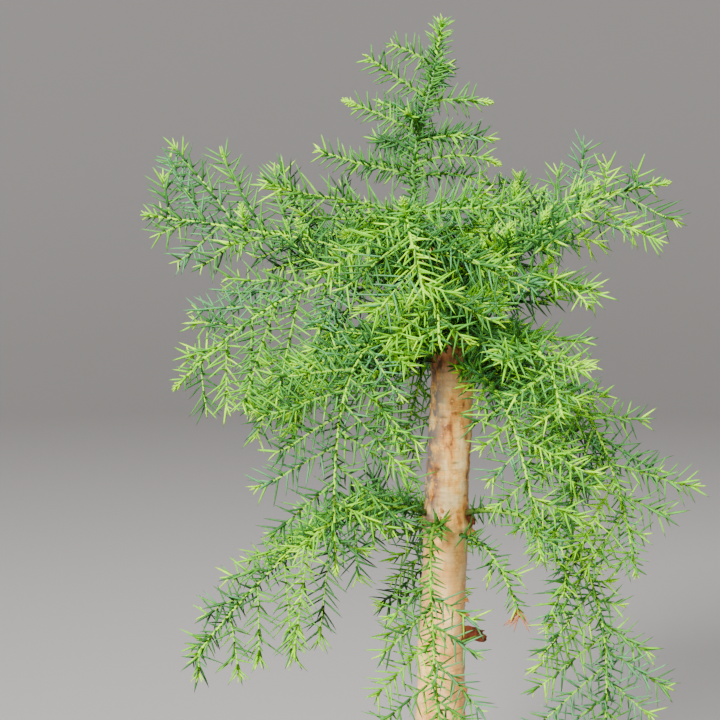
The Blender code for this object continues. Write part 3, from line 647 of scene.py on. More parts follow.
# bearing, height, width round the trunk, height of the scrap, how far it stands out, curl, tone
SCRAPS = (
    (-6, 0.2135, 0.0060, 0.0130, 0.0120, 0.5, 0),
    (6, 0.2165, 0.0050, 0.0080, 0.0080, -0.8, 0),
    (-14, 0.2335, 0.0030, 0.0040, 0.0024, 1.4, 1),
    (-16, 0.2245, 0.0036, 0.0042, 0.0032, 1.2, 1),
    (-22, 0.1830, 0.0036, 0.0078, 0.0022, 0.8, 1),
    (-30, 0.1700, 0.0030, 0.0050, 0.0018, 1.0, 1),
    (-20, 0.2790, 0.0040, 0.0125, 0.0036, 0.9, 0),
    (-12, 0.2715, 0.0044, 0.0058, 0.0042, 1.3, 1),
    (-150, 0.2760, 0.0050, 0.0060, 0.0030, 1.0, 0),
    (-100, 0.2860, 0.0030, 0.0038, 0.0016, 1.0, 1),
    (150, 0.2420, 0.0050, 0.0070, 0.0030, 1.1, 1),
    (95, 0.2050, 0.0060, 0.0090, 0.0036, 0.9, 0),
    (60, 0.1500, 0.0050, 0.0070, 0.0028, 1.1, 1),
    (-70, 0.1260, 0.0046, 0.0060, 0.0020, 1.2, 1),
    (-165, 0.1480, 0.0050, 0.0075, 0.0026, 1.0, 0),
)


def loose_bark(name, code, streak):
    """Thin dry bark: dull, and streaked along the grain every 1 to 4 mm."""
    made, tree, shader = material(name, code, 0.75)
    place = add_node(tree, "ShaderNodeTexCoord")
    drawn = add_node(tree, "ShaderNodeMapping",
                     {"Vector": place.outputs["Object"], "Scale": (900.0, 900.0, 260.0)})
    fibre = add_node(tree, "ShaderNodeTexNoise", {"Vector": drawn.outputs[0], "Scale": 1.0, "Detail": 4.0})
    tone = add_node(tree, "ShaderNodeValToRGB", {"Fac": fibre.outputs["Fac"]},
                    ramp=((0.35, streak), (0.65, code)))
    tree.links.new(tone.outputs["Color"], shader.inputs["Base Color"])
    return made


scrap_tones = (loose_bark("red_brown_bark_flake", "7c3f28", "4c2416"),
               loose_bark("orange_bark_curl", "dd9a55", "b0682c"))
scraps = []
for n, (bearing, height, wide, tall, stand, curl, tone) in enumerate(SCRAPS):
    clear_selection()
    bpy.ops.mesh.primitive_grid_add(x_subdivisions=8, y_subdivisions=8, size=1.0)
    scrap = bpy.context.object
    scrap.name = "bark_scrap_%d" % n
    centre, radius = trunk_axis(height)
    for vert in scrap.data.vertices:
        across, lift = vert.co.x + 0.5, vert.co.y
        ragged = 0.20 * noise.fractal(Vector((n * 3.1, lift * 4.0, across * 1.5)), 0.8, 2.0, 3)
        around = math.radians(bearing) + (across - 1.0) * wide / radius
        bent = across + ragged * across
        out = radius - SCRAP_THICK + stand * bent ** 1.3
        taper = 1.0 - 0.60 * across + 0.25 * noise.noise(Vector((across * 3, n, lift * 2)))
        rise = lift * tall * taper + curl * stand * 0.25 * math.sin(bent * 3.0)
        rise += 0.0006 * noise.noise(Vector((across * 4.0, lift * 4.0, n * 7.0)))
        vert.co = centre + Vector((math.cos(around) * out, math.sin(around) * out, rise))
    thick = scrap.modifiers.new("thick", "SOLIDIFY")
    thick.thickness = SCRAP_THICK
    bpy.ops.object.modifier_apply(modifier="thick")
    bpy.ops.object.shade_smooth()
    scrap.data.materials.append(scrap_tones[tone])
    scraps.append(scrap)
clear_selection()
for scrap in scraps:
    scrap.select_set(True)
bpy.context.view_layer.objects.active = scraps[0]
bpy.ops.object.join()
loose = bpy.context.object
loose.name = "loose_bark"
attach(loose, "root")

# ---- Boughs ------------------------------------------------------------------
# Three whorls of limbs, each a side shoot that left the trunk in one year's growth, arched
# over and now weeps. Rough brown at the trunk, they turn green and end in new shoots.
PATH_STEP = 0.002               # between the points of a bough's line
COLLAR = 0.50                   # how much a bough swells where it leaves the trunk
COLLAR_LENGTH = 0.0045
BROWN_LENGTH = 0.004            # scaly brown bark, before the skin starts to green
LET_IN = 0.004                  # how far under the bark a bough's own wood starts
BOUGH_SIDES = 10
# bearings, fan and roll are degrees, lengths millimetres; knee, shoulder and tip are each a
# reach out and a rise from the start; bare is the share of its length without twigs
COLUMNS = ("height", "from_bearing", "to_bearing", "knee", "shoulder", "tip",
           "thick", "bare", "twig", "fan", "roll", "droop")
BOUGHS = {
    "low_left": (277, -156, -166, (30, 19), (61, 7), (144, -70), 5.4, 0.30, 62, 100, 35, 0.80),
    "low_front": (273, -104, -95, (41, 19), (57, 0), (55, -108), 5.0, 0.42, 50, 0, 0, 0.25),
    "low_right": (279, -34, -19, (32, 16), (63, 0), (90, -124), 5.4, 0.42, 56, 12, 0, 0.20),
    "low_right_inner": (271, -58, -42, (26, 5), (37, -5), (52, -38), 3.4, 0.45, 18, 20, 0, 0.30),
    "low_back": (278, 88, 97, (40, 4), (65, -19), (84, -101), 5.0, 0.34, 50, 0, 0, 0.25),
    "low_left_back": (280, 138, 141, (30, 10), (60, 2), (114, -30), 4.6, 0.34, 44, 60, 10, 0.40),
    "mid_left": (377, -146, -167, (34, 34), (66, 36), (150, -17), 5.4, 0.30, 64, 100, 38, 0.45),
    "mid_front_left": (371, -119, -122, (62, 30), (98, 11), (119, -95), 5.2, 0.42, 52, 10, 0, 0.20),
    "mid_front": (382, -97, -95, (60, 30), (96, 30), (130, 10), 4.2, 0.36, 40, 0, 0, 0.30),
    "mid_right": (371, -41, -30, (41, 14), (73, -12), (110, -110), 5.2, 0.34, 60, 25, 0, 0.20),
    "mid_front_right": (364, -76, -68, (57, 11), (87, -15), (108, -85), 4.8, 0.40, 44, 5, 0, 0.20),
    "mid_right_high": (382, -66, -68, (58, 18), (101, 2), (132, -27), 4.2, 0.36, 42, 10, 0, 0.25),
    "mid_back_left": (372, 137, 138, (37, 13), (79, -2), (136, -50), 5.0, 0.34, 52, 50, 0, 0.25),
    "mid_back_right": (374, 47, 47, (41, -1), (80, -35), (116, -98), 5.0, 0.34, 52, -40, 0, 0.25),
    "mid_back": (376, 92, 103, (55, 8), (86, -13), (112, -78), 4.8, 0.36, 50, 10, 0, 0.25),
    "mid_left_low": (364, 172, 176, (36, 12), (68, 2), (110, -26), 4.6, 0.36, 54, 90, 20, 0.45),
    "top_left": (404, 178, 170, (33, 23), (80, 31), (167, 42), 5.0, 0.28, 54, 85, 38, 0.05),
    "top_front": (405, -109, -96, (32, 28), (81, 47), (128, 12), 4.4, 0.42, 66, 5, 0, 0.20),
    "top_right": (405, 2, 9, (41, 27), (75, 46), (124, 59), 4.6, 0.34, 46, 95, 42, 0.00),
    "top_right_front": (408, -46, -43, (41, 24), (65, 31), (100, 46), 3.6, 0.34, 38, 60, 20, 0.10),
    "top_right_low": (393, -47, -46, (48, 20), (73, 25), (99, 12), 3.6, 0.0, 38, 40, 0, 0.30),
    "top_back_right": (411, 50, 61, (38, 23), (71, 36), (108, 54), 3.8, 0.32, 42, -30, 0, 0.15),
    "top_back_left": (408, 124, 121, (41, 25), (77, 28), (129, 8), 4.4, 0.32, 50, 30, 0, 0.20),
    "top_back": (397, 88, 84, (45, 23), (80, 25), (129, 0), 4.4, 0.34, 50, 0, 0, 0.20),
}
# the unbranched shoots round the leader: height, bearing, knee, tip
SPRAYS = {
    "leader_left_low": (470, 176, (27, 4), (53, 13)),
    "leader_right_low": (475, -14, (25, 9), (43, 2)),
    "leader_back_left": (482, 114, (26, 7), (54, 5)),
    "leader_back_right": (489, 38, (26, 5), (54, -1)),
    "leader_left_mid": (492, -176, (17, 9), (36, 16)),
    "leader_right_mid": (509, 8, (15, 2), (31, 0)),
    "leader_left_high": (511, -177, (17, 11), (34, 23)),
    "leader_back": (516, 76, (17, 7), (38, 12)),
    "leader_left_top": (528, -174, (11, 8), (25, 12)),
    "inner_left_low": (473, 143, (24, 3), (44, 2)),
    "inner_right_low": (468, 21, (24, 5), (42, -3)),
    "inner_back": (500, 128, (16, 6), (36, 8)),
    "inner_right": (487, -33, (16, 4), (28, 4)),
    "inner_front": (497, -118, (10, 4), (19, 6)),
    "inner_right_top": (526, -8, (6, 3), (11, 4)),
}


def polar(bearing, reach, rise):
    """Offset for a bearing in degrees and millimetres out and up."""
    a = math.radians(bearing)
    return Vector((math.cos(a) * reach, math.sin(a) * reach, rise)) * 0.001


def even(points, step):
    """The same path with its points a fixed distance apart."""
    total = [0.0]
    for a, b in zip(points, points[1:]):
        total.append(total[-1] + (b - a).length)
    count = max(2, round(total[-1] / step))
    out = []
    k = 0
    for i in range(count + 1):
        want = total[-1] * i / count
        while k < len(points) - 2 and total[k + 1] < want:
            k += 1
        length = total[k + 1] - total[k]
        share = (want - total[k]) / length if length > 0 else 0.0
        out.append(points[k].lerp(points[k + 1], min(1.0, share)))
    return out


def curve(start, knee, end, count=14):
    """Points along a curve drawn toward its knee."""
    return list(interpolate_bezier(start, start.lerp(knee, 2 / 3), end.lerp(knee, 2 / 3), end, count))


def bough_path(row):
    """The line of a bough from the trunk's axis to its tip."""
    b0 = row["from_bearing"]
    b1 = row["to_bearing"]
    start = trunk_axis(row["height"] * 0.001)[0]
    knee = start + polar(b0, *row["knee"])
    shoulder = start + polar(b0 + (b1 - b0) * 0.35, *row["shoulder"])
    tip = start + polar(b1, *row["tip"])
    bend = shoulder + (shoulder - knee).normalized() * 0.35 * (tip - shoulder).length
    return even(curve(start, knee, shoulder) + curve(shoulder, bend, tip, 20)[1:], PATH_STEP)


class Tubes:
    """Closed tubes gathered into one mesh, with a value along each for how green it is."""

    def __init__(self):
        self.verts = []
        self.faces = []
        self.green = []

    def add(self, path, radii, sides, greens, rough=0.0):
        """One tube along a path, closed at both ends, with a slightly uneven skin if rough."""
        base = len(self.verts)
        side = None
        for i, point in enumerate(path):
            along = (path[min(i + 1, len(path) - 1)] - path[max(i - 1, 0)]).normalized()
            if side is None:
                side = along.orthogonal().normalized()
            side = (side - along * side.dot(along)).normalized()
            over = along.cross(side)
            for k in range(sides):
                a = 2 * math.pi * k / sides
                out = side * math.cos(a) + over * math.sin(a)
                r = radii[i]
                if rough:
                    r *= 1.0 + rough * noise.noise((point + out * 0.002) * 800.0)
                self.verts.append(point + out * r)
                self.green.append(greens[i])
        for i in range(len(path) - 1):
            for k in range(sides):
                a = base + i * sides + k
                b = base + i * sides + (k + 1) % sides
                self.faces.append((a, b, b + sides, a + sides))
        self.faces.append(tuple(base + k for k in range(sides - 1, -1, -1)))
        last = base + (len(path) - 1) * sides
        self.faces.append(tuple(last + k for k in range(sides)))

    def build(self, name, mat):
        """All the tubes as one smooth piece that rides on the root."""
        mesh = bpy.data.meshes.new(name)
        mesh.from_pydata([tuple(v) for v in self.verts], [], self.faces)
        mesh.attributes.new("green", "FLOAT", "POINT").data.foreach_set("value", self.green)
        mesh.materials.append(mat)
        made = bpy.data.objects.new(name, mesh)
        bpy.context.scene.collection.objects.link(made)
        clear_selection()
        made.select_set(True)
        bpy.context.view_layer.objects.active = made
        bpy.ops.object.shade_smooth_by_angle(angle=math.radians(60))
        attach(made, "root")
        return made


class Stem:
    """A bough or a leader spray: its line, where its twigs start, and their habit."""

    def __init__(self, name, path, bare, thick, twig, fan, roll, droop, whorl):
        self.name = name
        self.path = path
        self.start = round((len(path) - 1) * bare)
        self.thick = thick
        self.twig = twig
        self.fan = polar(fan, 1000, 0)
        self.roll = math.radians(roll)
        self.droop = droop
        self.whorl = whorl

    def girth(self, share):
        """Radius of the limb at a share of its length."""
        bare = max(0.3, self.start / len(self.path))
        radius = self.thick * 0.31 * (1.0 - 0.46 * min(1.0, share / bare))
        return max(radius * (1.0 - 0.55 * share), 0.00065)


stems = []
for name, values in BOUGHS.items():
    row = dict(zip(COLUMNS, values))
    stems.append(Stem(name, bough_path(row), row["bare"], row["thick"] * 0.001,
                      row["twig"] * 0.001, row["fan"], row["roll"], row["droop"],
                      name.split("_")[0]))
for name, (height, bearing, knee, tip) in SPRAYS.items():
    start = trunk_axis(height * 0.001)[0]
    path = even(curve(start, start + polar(bearing, *knee), start + polar(bearing, *tip)), PATH_STEP)
    stems.append(Stem(name, path, bare=0.0, thick=0.0018, twig=0.0, fan=0, roll=0, droop=0.0,
                      whorl="leader"))

# bough bark: brown near the trunk, with scales 2 mm across, and green skin further out
bough_bark, tree, shader = material("bough_bark", "7c5c3a", 0.7)
place = add_node(tree, "ShaderNodeTexCoord")
age = add_node(tree, "ShaderNodeAttribute", attribute_name="green")
scaly = add_node(tree, "ShaderNodeTexNoise",
                 {"Vector": place.outputs["Object"], "Scale": 520.0, "Detail": 4.0})
brown = add_node(tree, "ShaderNodeValToRGB", {"Fac": scaly.outputs["Fac"]},
                 ramp=((0.32, "3c2a1a"), (0.50, "66492e"), (0.70, "8c6b47")))
skin = add_node(tree, "ShaderNodeValToRGB", {"Fac": age.outputs["Fac"]},
                ramp=((0.15, "3a5a1c"), (0.35, "6c9c24"), (0.75, "97cc1c")))
woody = add_node(tree, "ShaderNodeMapRange", {"Value": age.outputs["Fac"], "From Min": 0.0,
                                              "From Max": 0.12, "To Min": 0.0, "To Max": 1.0})
aged = add_node(tree, "ShaderNodeMix", {"Factor": woody.outputs[0], "A": brown.outputs["Color"],
                                        "B": skin.outputs["Color"]}, data_type="RGBA")
tree.links.new(aged.outputs["Result"], shader.inputs["Base Color"])
relief = add_node(tree, "ShaderNodeBump", {"Height": scaly.outputs["Fac"], "Strength": 0.6,
                                           "Distance": 0.0003})
tree.links.new(relief.outputs["Normal"], shader.inputs["Normal"])

for whorl in ("low", "mid", "top"):
    wood = Tubes()
    nodes = []
    for stem in stems:
        if stem.whorl != whorl:
            continue
        first = 0
        while (stem.path[first] - stem.path[0]).length < trunk_axis(stem.path[first].z)[1] - LET_IN:
            first += 1
        path = stem.path[first:]
        radii = []
        greens = []
        for i in range(len(path)):
            gone = i * PATH_STEP
            collar = math.exp(-gone / COLLAR_LENGTH)
            radii.append(stem.girth(i / (len(path) - 1)) * (1.0 + COLLAR * collar))
            youth = 0.85 * (i / len(path)) ** 0.8
            greens.append(min(0.15, max(0.0, (gone - BROWN_LENGTH) / 0.08)) + youth)
        wood.add(path, radii, BOUGH_SIDES, greens, rough=0.10)
        if "%s_bough" % stem.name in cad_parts:
            nodes.append("%s_bough" % stem.name)
    piece = wood.build("%s_whorl_boughs" % whorl, bough_bark)
    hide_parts(*nodes)

# ---- Foliage -----------------------------------------------------------------
# Side twigs stand in two ranks along each bough and hang from it, clothed all round in flat,
# stiff, sharp needles 8 to 16 mm long. New growth at every tip is a bright yellow green.
INNER_PITCH = 0.0046            # between one side twig and the next, near the trunk
OUTER_PITCH = 0.0118            # and at the tip of a bough
TWIG_ANGLE = 58
TWIG_STEPS = 7
TWIG_THICK = 0.00060
TWIG_SIDES = 5
SHORTEST_TWIG = 0.009
# needles on each kind of shoot: from one to the next, their length, degrees off the shoot
HABITS = {
    "bough": (0.00110, 0.0092, 78),
    "plume": (0.00120, 0.0146, 62),
    "twig": (0.00150, 0.0146, 66),
    "crest": (0.00080, 0.0085, 60),
    "spray": (0.00100, 0.0112, 74),
    "leader": (0.00052, 0.0100, 76),
}
NEEDLE_WIDTH = 0.00146          # a real one is 1.1 mm, but a real tree has more of them
TAPERING = 0.008                # needles close up and shorten over this much of a shoot's end
BUD_LENGTH = 0.0016             # and its last bit is an open bud
LEADER_FROM = 0.428             # where the leader's bark turns green
LEADER_TOP = 0.0165             # green shoot above the woody leader
NEEDLES_OFF_BARK = 0.0035
GOLDEN = math.radians(137.5)
RANKS = (0, 180, 65, 245, 0, 180, 115, 295)      # turn of each needle round a twig, from its flat side
# boughs in strong growth: how much longer their needles are
VIGOUR = {"top_front": 1.18, "top_right": 1.04, "top_right_front": 1.04, "mid_front": 1.05}
STRONG = 1.1                    # above this a bough ends in a long bright plume
PLUME = 17                      # steps of its line
# boughs that are fuller on one side: twig length where their fan faces, and on the other side
LOPSIDED = {
    "low_left": (0.66, 0.88), "low_left_back": (1.0, 1.35), "low_front": (0.68, 1.0),
    "low_right": (0.74, 1.0), "low_right_inner": (0.8, 0.6), "low_back": (0.52, 0.86),
    "mid_left": (0.78, 1.0), "mid_left_low": (1.15, 1.15), "mid_front_left": (1.08, 0.96),
    "mid_right": (0.68, 0.96), "mid_right_high": (0.76, 0.95), "mid_front_right": (1.0, 0.55),
    "mid_back": (0.85, 1.0), "top_left": (1.32, 0.78), "top_right": (0.80, 0.95),
    "top_back_right": (0.65, 0.7), "mid_back_right": (0.8, 0.85),
}
# boughs with fewer twigs: share of the bough before the first, and how much further apart
SPARSER = {"low_front": (0.45, 1.4), "low_right_inner": (0.40, 1.3), "low_left": (0.0, 1.3)}
# single twigs unlike the rest: share of the bough, side, length beside the usual
LEADING = {
    "mid_right": ((0.09, 1, 0.8), (0.17, 1, 0.55), (0.50, 1, 1.35), (0.80, 1, 0.6), (0.89, -1, 0.6)),
    "low_right": ((0.05, 1, 0.4), (0.14, 1, 0.35), (0.23, 1, 0.4), (0.70, -1, 1.35),
                  (0.84, -1, 1.6), (0.90, 1, 1.5)),
    "top_left": ((0.44, 1, 1.4), (0.57, 1, 1.55), (0.72, 1, 1.7), (0.88, 1, 1.2)),
    "top_right": ((0.29, 1, 0.8), (0.53, -1, 1.2), (0.71, -1, 1.35), (0.94, -1, 0.5)),
    "low_left": ((0.13, -1, 1.75), (0.25, -1, 1.3), (0.40, -1, 1.0), (0.64, 1, 1.1)),
    "low_front": ((0.62, -1, 1.25), (0.78, -1, 1.2)),
    "top_front": ((0.15, -1, 1.2), (0.34, -1, 1.2)),
}
STEEPER = {"top_left": 8}       # degrees of roll over the habit of the rest
# stems that end in a fat bud
BUDDED = ("leader_left_mid", "leader_right_low", "leader_right_mid", "top_right", "mid_left",
          "top_back_right", "mid_front_left")
# young needles are lighter and yellower; old ones are dark, some with a bloom; the dark tones also stand
# for painted shade deep in the crown and at the back
NEEDLE_TONES = {
    "needle_new_growth": ("98d400", 0.42),
    "needle_young": ("6cb604", 0.42),
    "needle_summer": ("4b8c2e", 0.42),
    "needle_mature": ("33692c", 0.45),
    "needle_old": ("1a3816", 0.48),
    "needle_bloomed": ("4a8850", 0.48),
    "needle_dead": ("ad683a", 0.70),
}
NEW, YOUNG, SUMMER, MATURE, OLD_AND_SHADE, BLOOMED, DEAD = range(len(NEEDLE_TONES))
# a needle's outline: share of its length, half width and half thickness as shares of its width
NEEDLE_RINGS = ((0.0, 0.44, 0.40), (0.32, 0.50, 0.36), (0.72, 0.34, 0.26))
RING_CORNERS = ((1, 0), (0, 1), (-1, 0), (0, -1))
NEEDLE_POINTS = 13              # three rings of four and the sharp tip


class Needles:
    """Needles gathered as rows of arrays, made into one mesh at the end."""

    def __init__(self):
        self.rows = []

    def add(self, root, heading, twig_along, length, width, tone, bend):
        """One needle; bend is how far its tip curves toward the twig's own tip."""
        self.rows.append((*root, *heading, *twig_along, length, width, tone, bend))

    def build(self, name, mats):
        """All the needles as one piece that rides on the root, each its own closed spike."""
        data = np.array(self.rows)
        root = data[:, 0:3]
        along = data[:, 3:6]
        along /= np.linalg.norm(along, axis=1, keepdims=True)
        stem = data[:, 6:9]
        length = data[:, 9:10]
        width = data[:, 10:11]
        tone = data[:, 11].astype(int)
        bend = data[:, 12:13]
        across = np.cross(along, stem)
        across /= np.maximum(np.linalg.norm(across, axis=1, keepdims=True), 1e-9)
        over = np.cross(across, along)
        toward = stem - along * np.sum(stem * along, axis=1, keepdims=True)
        toward /= np.maximum(np.linalg.norm(toward, axis=1, keepdims=True), 1e-9)
        count = len(data)
        verts = np.empty((count, NEEDLE_POINTS, 3))
        for k, (place, wide, thick) in enumerate(NEEDLE_RINGS):
            centre = root + along * length * place + toward * length * bend * place ** 2
            for j, (a, b) in enumerate(RING_CORNERS):
                verts[:, k * 4 + j] = centre + across * width * wide * a + over * width * thick * b
        verts[:, 12] = root + along * length + toward * length * bend
        faces = [(3, 2, 1, 0)]
        for k in (0, 4):
            for j in range(4):
                faces.append((k + j, k + (j + 1) % 4, k + 4 + (j + 1) % 4, k + 4 + j))
        for j in range(4):
            faces.append((8 + j, 8 + (j + 1) % 4, 12))
        sizes = np.array([len(f) for f in faces])
        corners = np.concatenate([np.array(f) for f in faces])
        loops = (corners[None, :] + np.arange(count)[:, None] * NEEDLE_POINTS).ravel()
        mesh = bpy.data.meshes.new(name)
        mesh.vertices.add(count * NEEDLE_POINTS)
        mesh.vertices.foreach_set("co", verts.ravel())
        mesh.loops.add(len(loops))
        mesh.loops.foreach_set("vertex_index", loops)
        totals = np.tile(sizes, count)
        starts = np.concatenate(([0], np.cumsum(totals)[:-1]))
        mesh.polygons.add(len(totals))
        mesh.polygons.foreach_set("loop_start", starts)
        mesh.polygons.foreach_set("material_index", np.repeat(tone, len(faces)))
        mesh.update(calc_edges=True)
        mesh.validate()
        for mat in mats:
            mesh.materials.append(mat)
        made = bpy.data.objects.new(name, mesh)
        bpy.context.scene.collection.objects.link(made)
        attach(made, "root")
        return made


# stiff waxy leaf: satin, with small shifts of green from place to place
needle_mats = [drifting(name, code, rough, 160.0, 2.0, 0.78, 1.12)
               for name, (code, rough) in NEEDLE_TONES.items()]

# green twig skin: smooth and yellower than the needles
twig_skin, tree, shader = material("green_twig_skin", "93ad55", 0.55)
place = add_node(tree, "ShaderNodeTexCoord")
age = add_node(tree, "ShaderNodeAttribute", attribute_name="green")
shoot = add_node(tree, "ShaderNodeValToRGB", {"Fac": age.outputs["Fac"]},
                 ramp=((0.0, "42571c"), (0.35, "6a9c26"), (1.0, "97cc18")))
tree.links.new(shoot.outputs["Color"], shader.inputs["Base Color"])


def clothe(needles, path, habit, tones, fresh, plane=None, start=0.0, girth=None, crowded=1.0,
           vigour=1.0):
    """Needles along a path: in ranks beside a plane if one is given, or else in a spiral."""
    step, size, spread = HABITS[habit]
    size *= vigour
    run = [0.0]
    for a, b in zip(path, path[1:]):
        run.append(run[-1] + (b - a).length)
    total = run[-1]
    place = start
    spin = random.uniform(0.0, 6.28)
    number = random.randrange(len(RANKS))
    k = 0
    while place < total:
        while k < len(path) - 2 and run[k + 1] < place:
            k += 1
        along = (path[k + 1] - path[k]).normalized()
        point = path[k].lerp(path[k + 1], (place - run[k]) / (run[k + 1] - run[k]))
        far = place / total
        if plane:
            side = (plane - along * plane.dot(along)).normalized()
            around = math.radians(RANKS[number % len(RANKS)]) + random.gauss(0, 0.20)
        else:
            side = along.orthogonal().normalized()
            spin += GOLDEN + random.gauss(0, 0.2)
            around = spin
        number += 1
        out = side * math.cos(around) + along.cross(side) * math.sin(around)
        near = max(0.0, 1.0 - (total - place) / TAPERING)
        at_bud = total - place < BUD_LENGTH
        if at_bud:
            angle = math.radians(random.uniform(16, 58))
        else:
            angle = math.radians(spread - 14 * far - 14 * near + random.gauss(0, 6))
        heading = along * math.cos(angle) + out * math.sin(angle)
        length = size * random.uniform(0.84, 1.12) * (1.0 - 0.22 * near)
        if far < 0.10:
            length *= 0.66 + 3.4 * far
        if at_bud:
            length *= 0.55
            tone = NEW
        elif total - place < fresh:
            tone = random.choices((NEW, YOUNG, tones[0]), (1.5, 5, 3.5))[0]
        else:
            dying = 0.02 if tones[0] == OLD_AND_SHADE else 0.0
            tone = random.choices((*tones, DEAD), (8, 2, 1, dying))[0]
        if girth:
            point = point + out * 0.8 * girth(far)
        wide = NEEDLE_WIDTH * random.uniform(0.9, 1.1) * (0.75 if at_bud else 1.0)
        needles.add(point, heading, along, length, wide, tone, random.uniform(-0.04, 0.10))
        crowd = crowded + (1.0 - crowded) * min(1.0, place / 0.055)
        place += 0.00045 if at_bud else step * crowd * random.uniform(0.8, 1.2)


def bud(needles, at, along):
    """A closed bud: short bright scales pressed round the end of a shoot."""
    side = along.orthogonal().normalized()
    over = along.cross(side)
    for n in range(16):
        a = n * GOLDEN
        open_by = math.radians(52 - 2.8 * n)
        out = side * math.cos(a) + over * math.sin(a)
        heading = along * math.cos(open_by) + out * math.sin(open_by)
        needles.add(at + along * 0.00022 * n, heading, along, 0.0036, 0.0012, NEW, -0.10)


def twig_line(start, along, length, sag):
    """A twig's line: it sags as it goes, and its tip turns up a little."""
    points = [start]
    heading = along.normalized()
    wander = Vector((random.gauss(0, 1), random.gauss(0, 1), random.gauss(0, 1))) * 0.05
    for i in range(TWIG_STEPS):
        pull = -sag / TWIG_STEPS if i < TWIG_STEPS - 2 else 0.10
        heading = (heading + Vector((0.0, 0.0, pull)) + wander / TWIG_STEPS).normalized()
        points.append(points[-1] + heading * (length / TWIG_STEPS))
    return points


def clear_of_trunk(points):
    """True where a twig stays out of the trunk and its needles off the bark."""
    for point in points[1:]:
        centre, radius = trunk_axis(min(point.z, TRUNK[-1][0]))
        if math.hypot(point.x - centre.x, point.y) < radius + 0.004:
            return False
    return True


def leader_spray(stem, needles, shoots):
    """A shoot round the leader: unbranched, its needles in ranks, with darker tones at the back and inside
    as painted shade.
    """
    line = stem.path[:-1]
    count = len(line)
    thin = [0.0008 * (1.0 - 0.4 * i / count) for i in range(count)]
    shoots.add(line, thin, TWIG_SIDES, [0.2 + 0.6 * i / count for i in range(count)])
    # painted shade: sprays at the back and inner sprays get darker tones
    if stem.behind or stem.name.startswith("inner"):
        tones = (MATURE, SUMMER, BLOOMED)
    else:
        tones = (SUMMER, MATURE, YOUNG)
    clothe(needles, line, "spray", tones, 0.006, plane=Vector((0, 0, 1)), start=0.0015)


def bough_needles(stem, needles):
    """Short close needles along a bough itself, and a bright plume if it grows strongly."""
    tones = random.choice(((SUMMER, MATURE, BLOOMED), (MATURE, SUMMER, OLD_AND_SHADE), (SUMMER, YOUNG, BLOOMED)))
    crowded = 0.45
    if stem.name == "low_front":
        tones = (SUMMER, YOUNG, MATURE)
        crowded = 1.8
    path = stem.path
    if stem.vigour <= STRONG:
        clothe(needles, path, "bough", tones, 0.010, start=stem.off_bark, girth=stem.girth,
               crowded=crowded)
        return
    clothe(needles, path[:-PLUME], "bough", tones, 0.0, start=stem.off_bark, girth=stem.girth,
           crowded=crowded)
    clothe(needles, path[-PLUME - 1:], "plume", (NEW, YOUNG, NEW), 0.02, plane=Vector((1, 0, 0)),
           vigour=stem.vigour)


def twig_tones(stem, depth):
    """Tones of one twig: mostly dark deep in the crown, where older needles and painted shade both darken
    it, lighter outside it, and at times dark outside it at the back as painted shade.
    """
    # painted shade: deep in the crown the dark tones win
    if depth < 0.55:
        choices = ((OLD_AND_SHADE, MATURE, SUMMER), (MATURE, OLD_AND_SHADE, SUMMER), (SUMMER, MATURE, BLOOMED),
                   (YOUNG, SUMMER, NEW))
        weights = (0 if stem.whorl == "low" else 7, 5, 1.5, 1.5 if stem.vigour > STRONG else 0.1)
    else:
        choices = ((SUMMER, YOUNG, MATURE), (MATURE, SUMMER, BLOOMED), (YOUNG, NEW, SUMMER),
                   (BLOOMED, SUMMER, MATURE), (OLD_AND_SHADE, MATURE, SUMMER))
        # painted shade: the darkest tone outside the crown only on boughs at the back
        weights = (5, 3, 2 if stem.vigour == 1.0 else 5, 1.5, 0.8 if stem.behind else 0)
    return random.choices(choices, weights)[0]


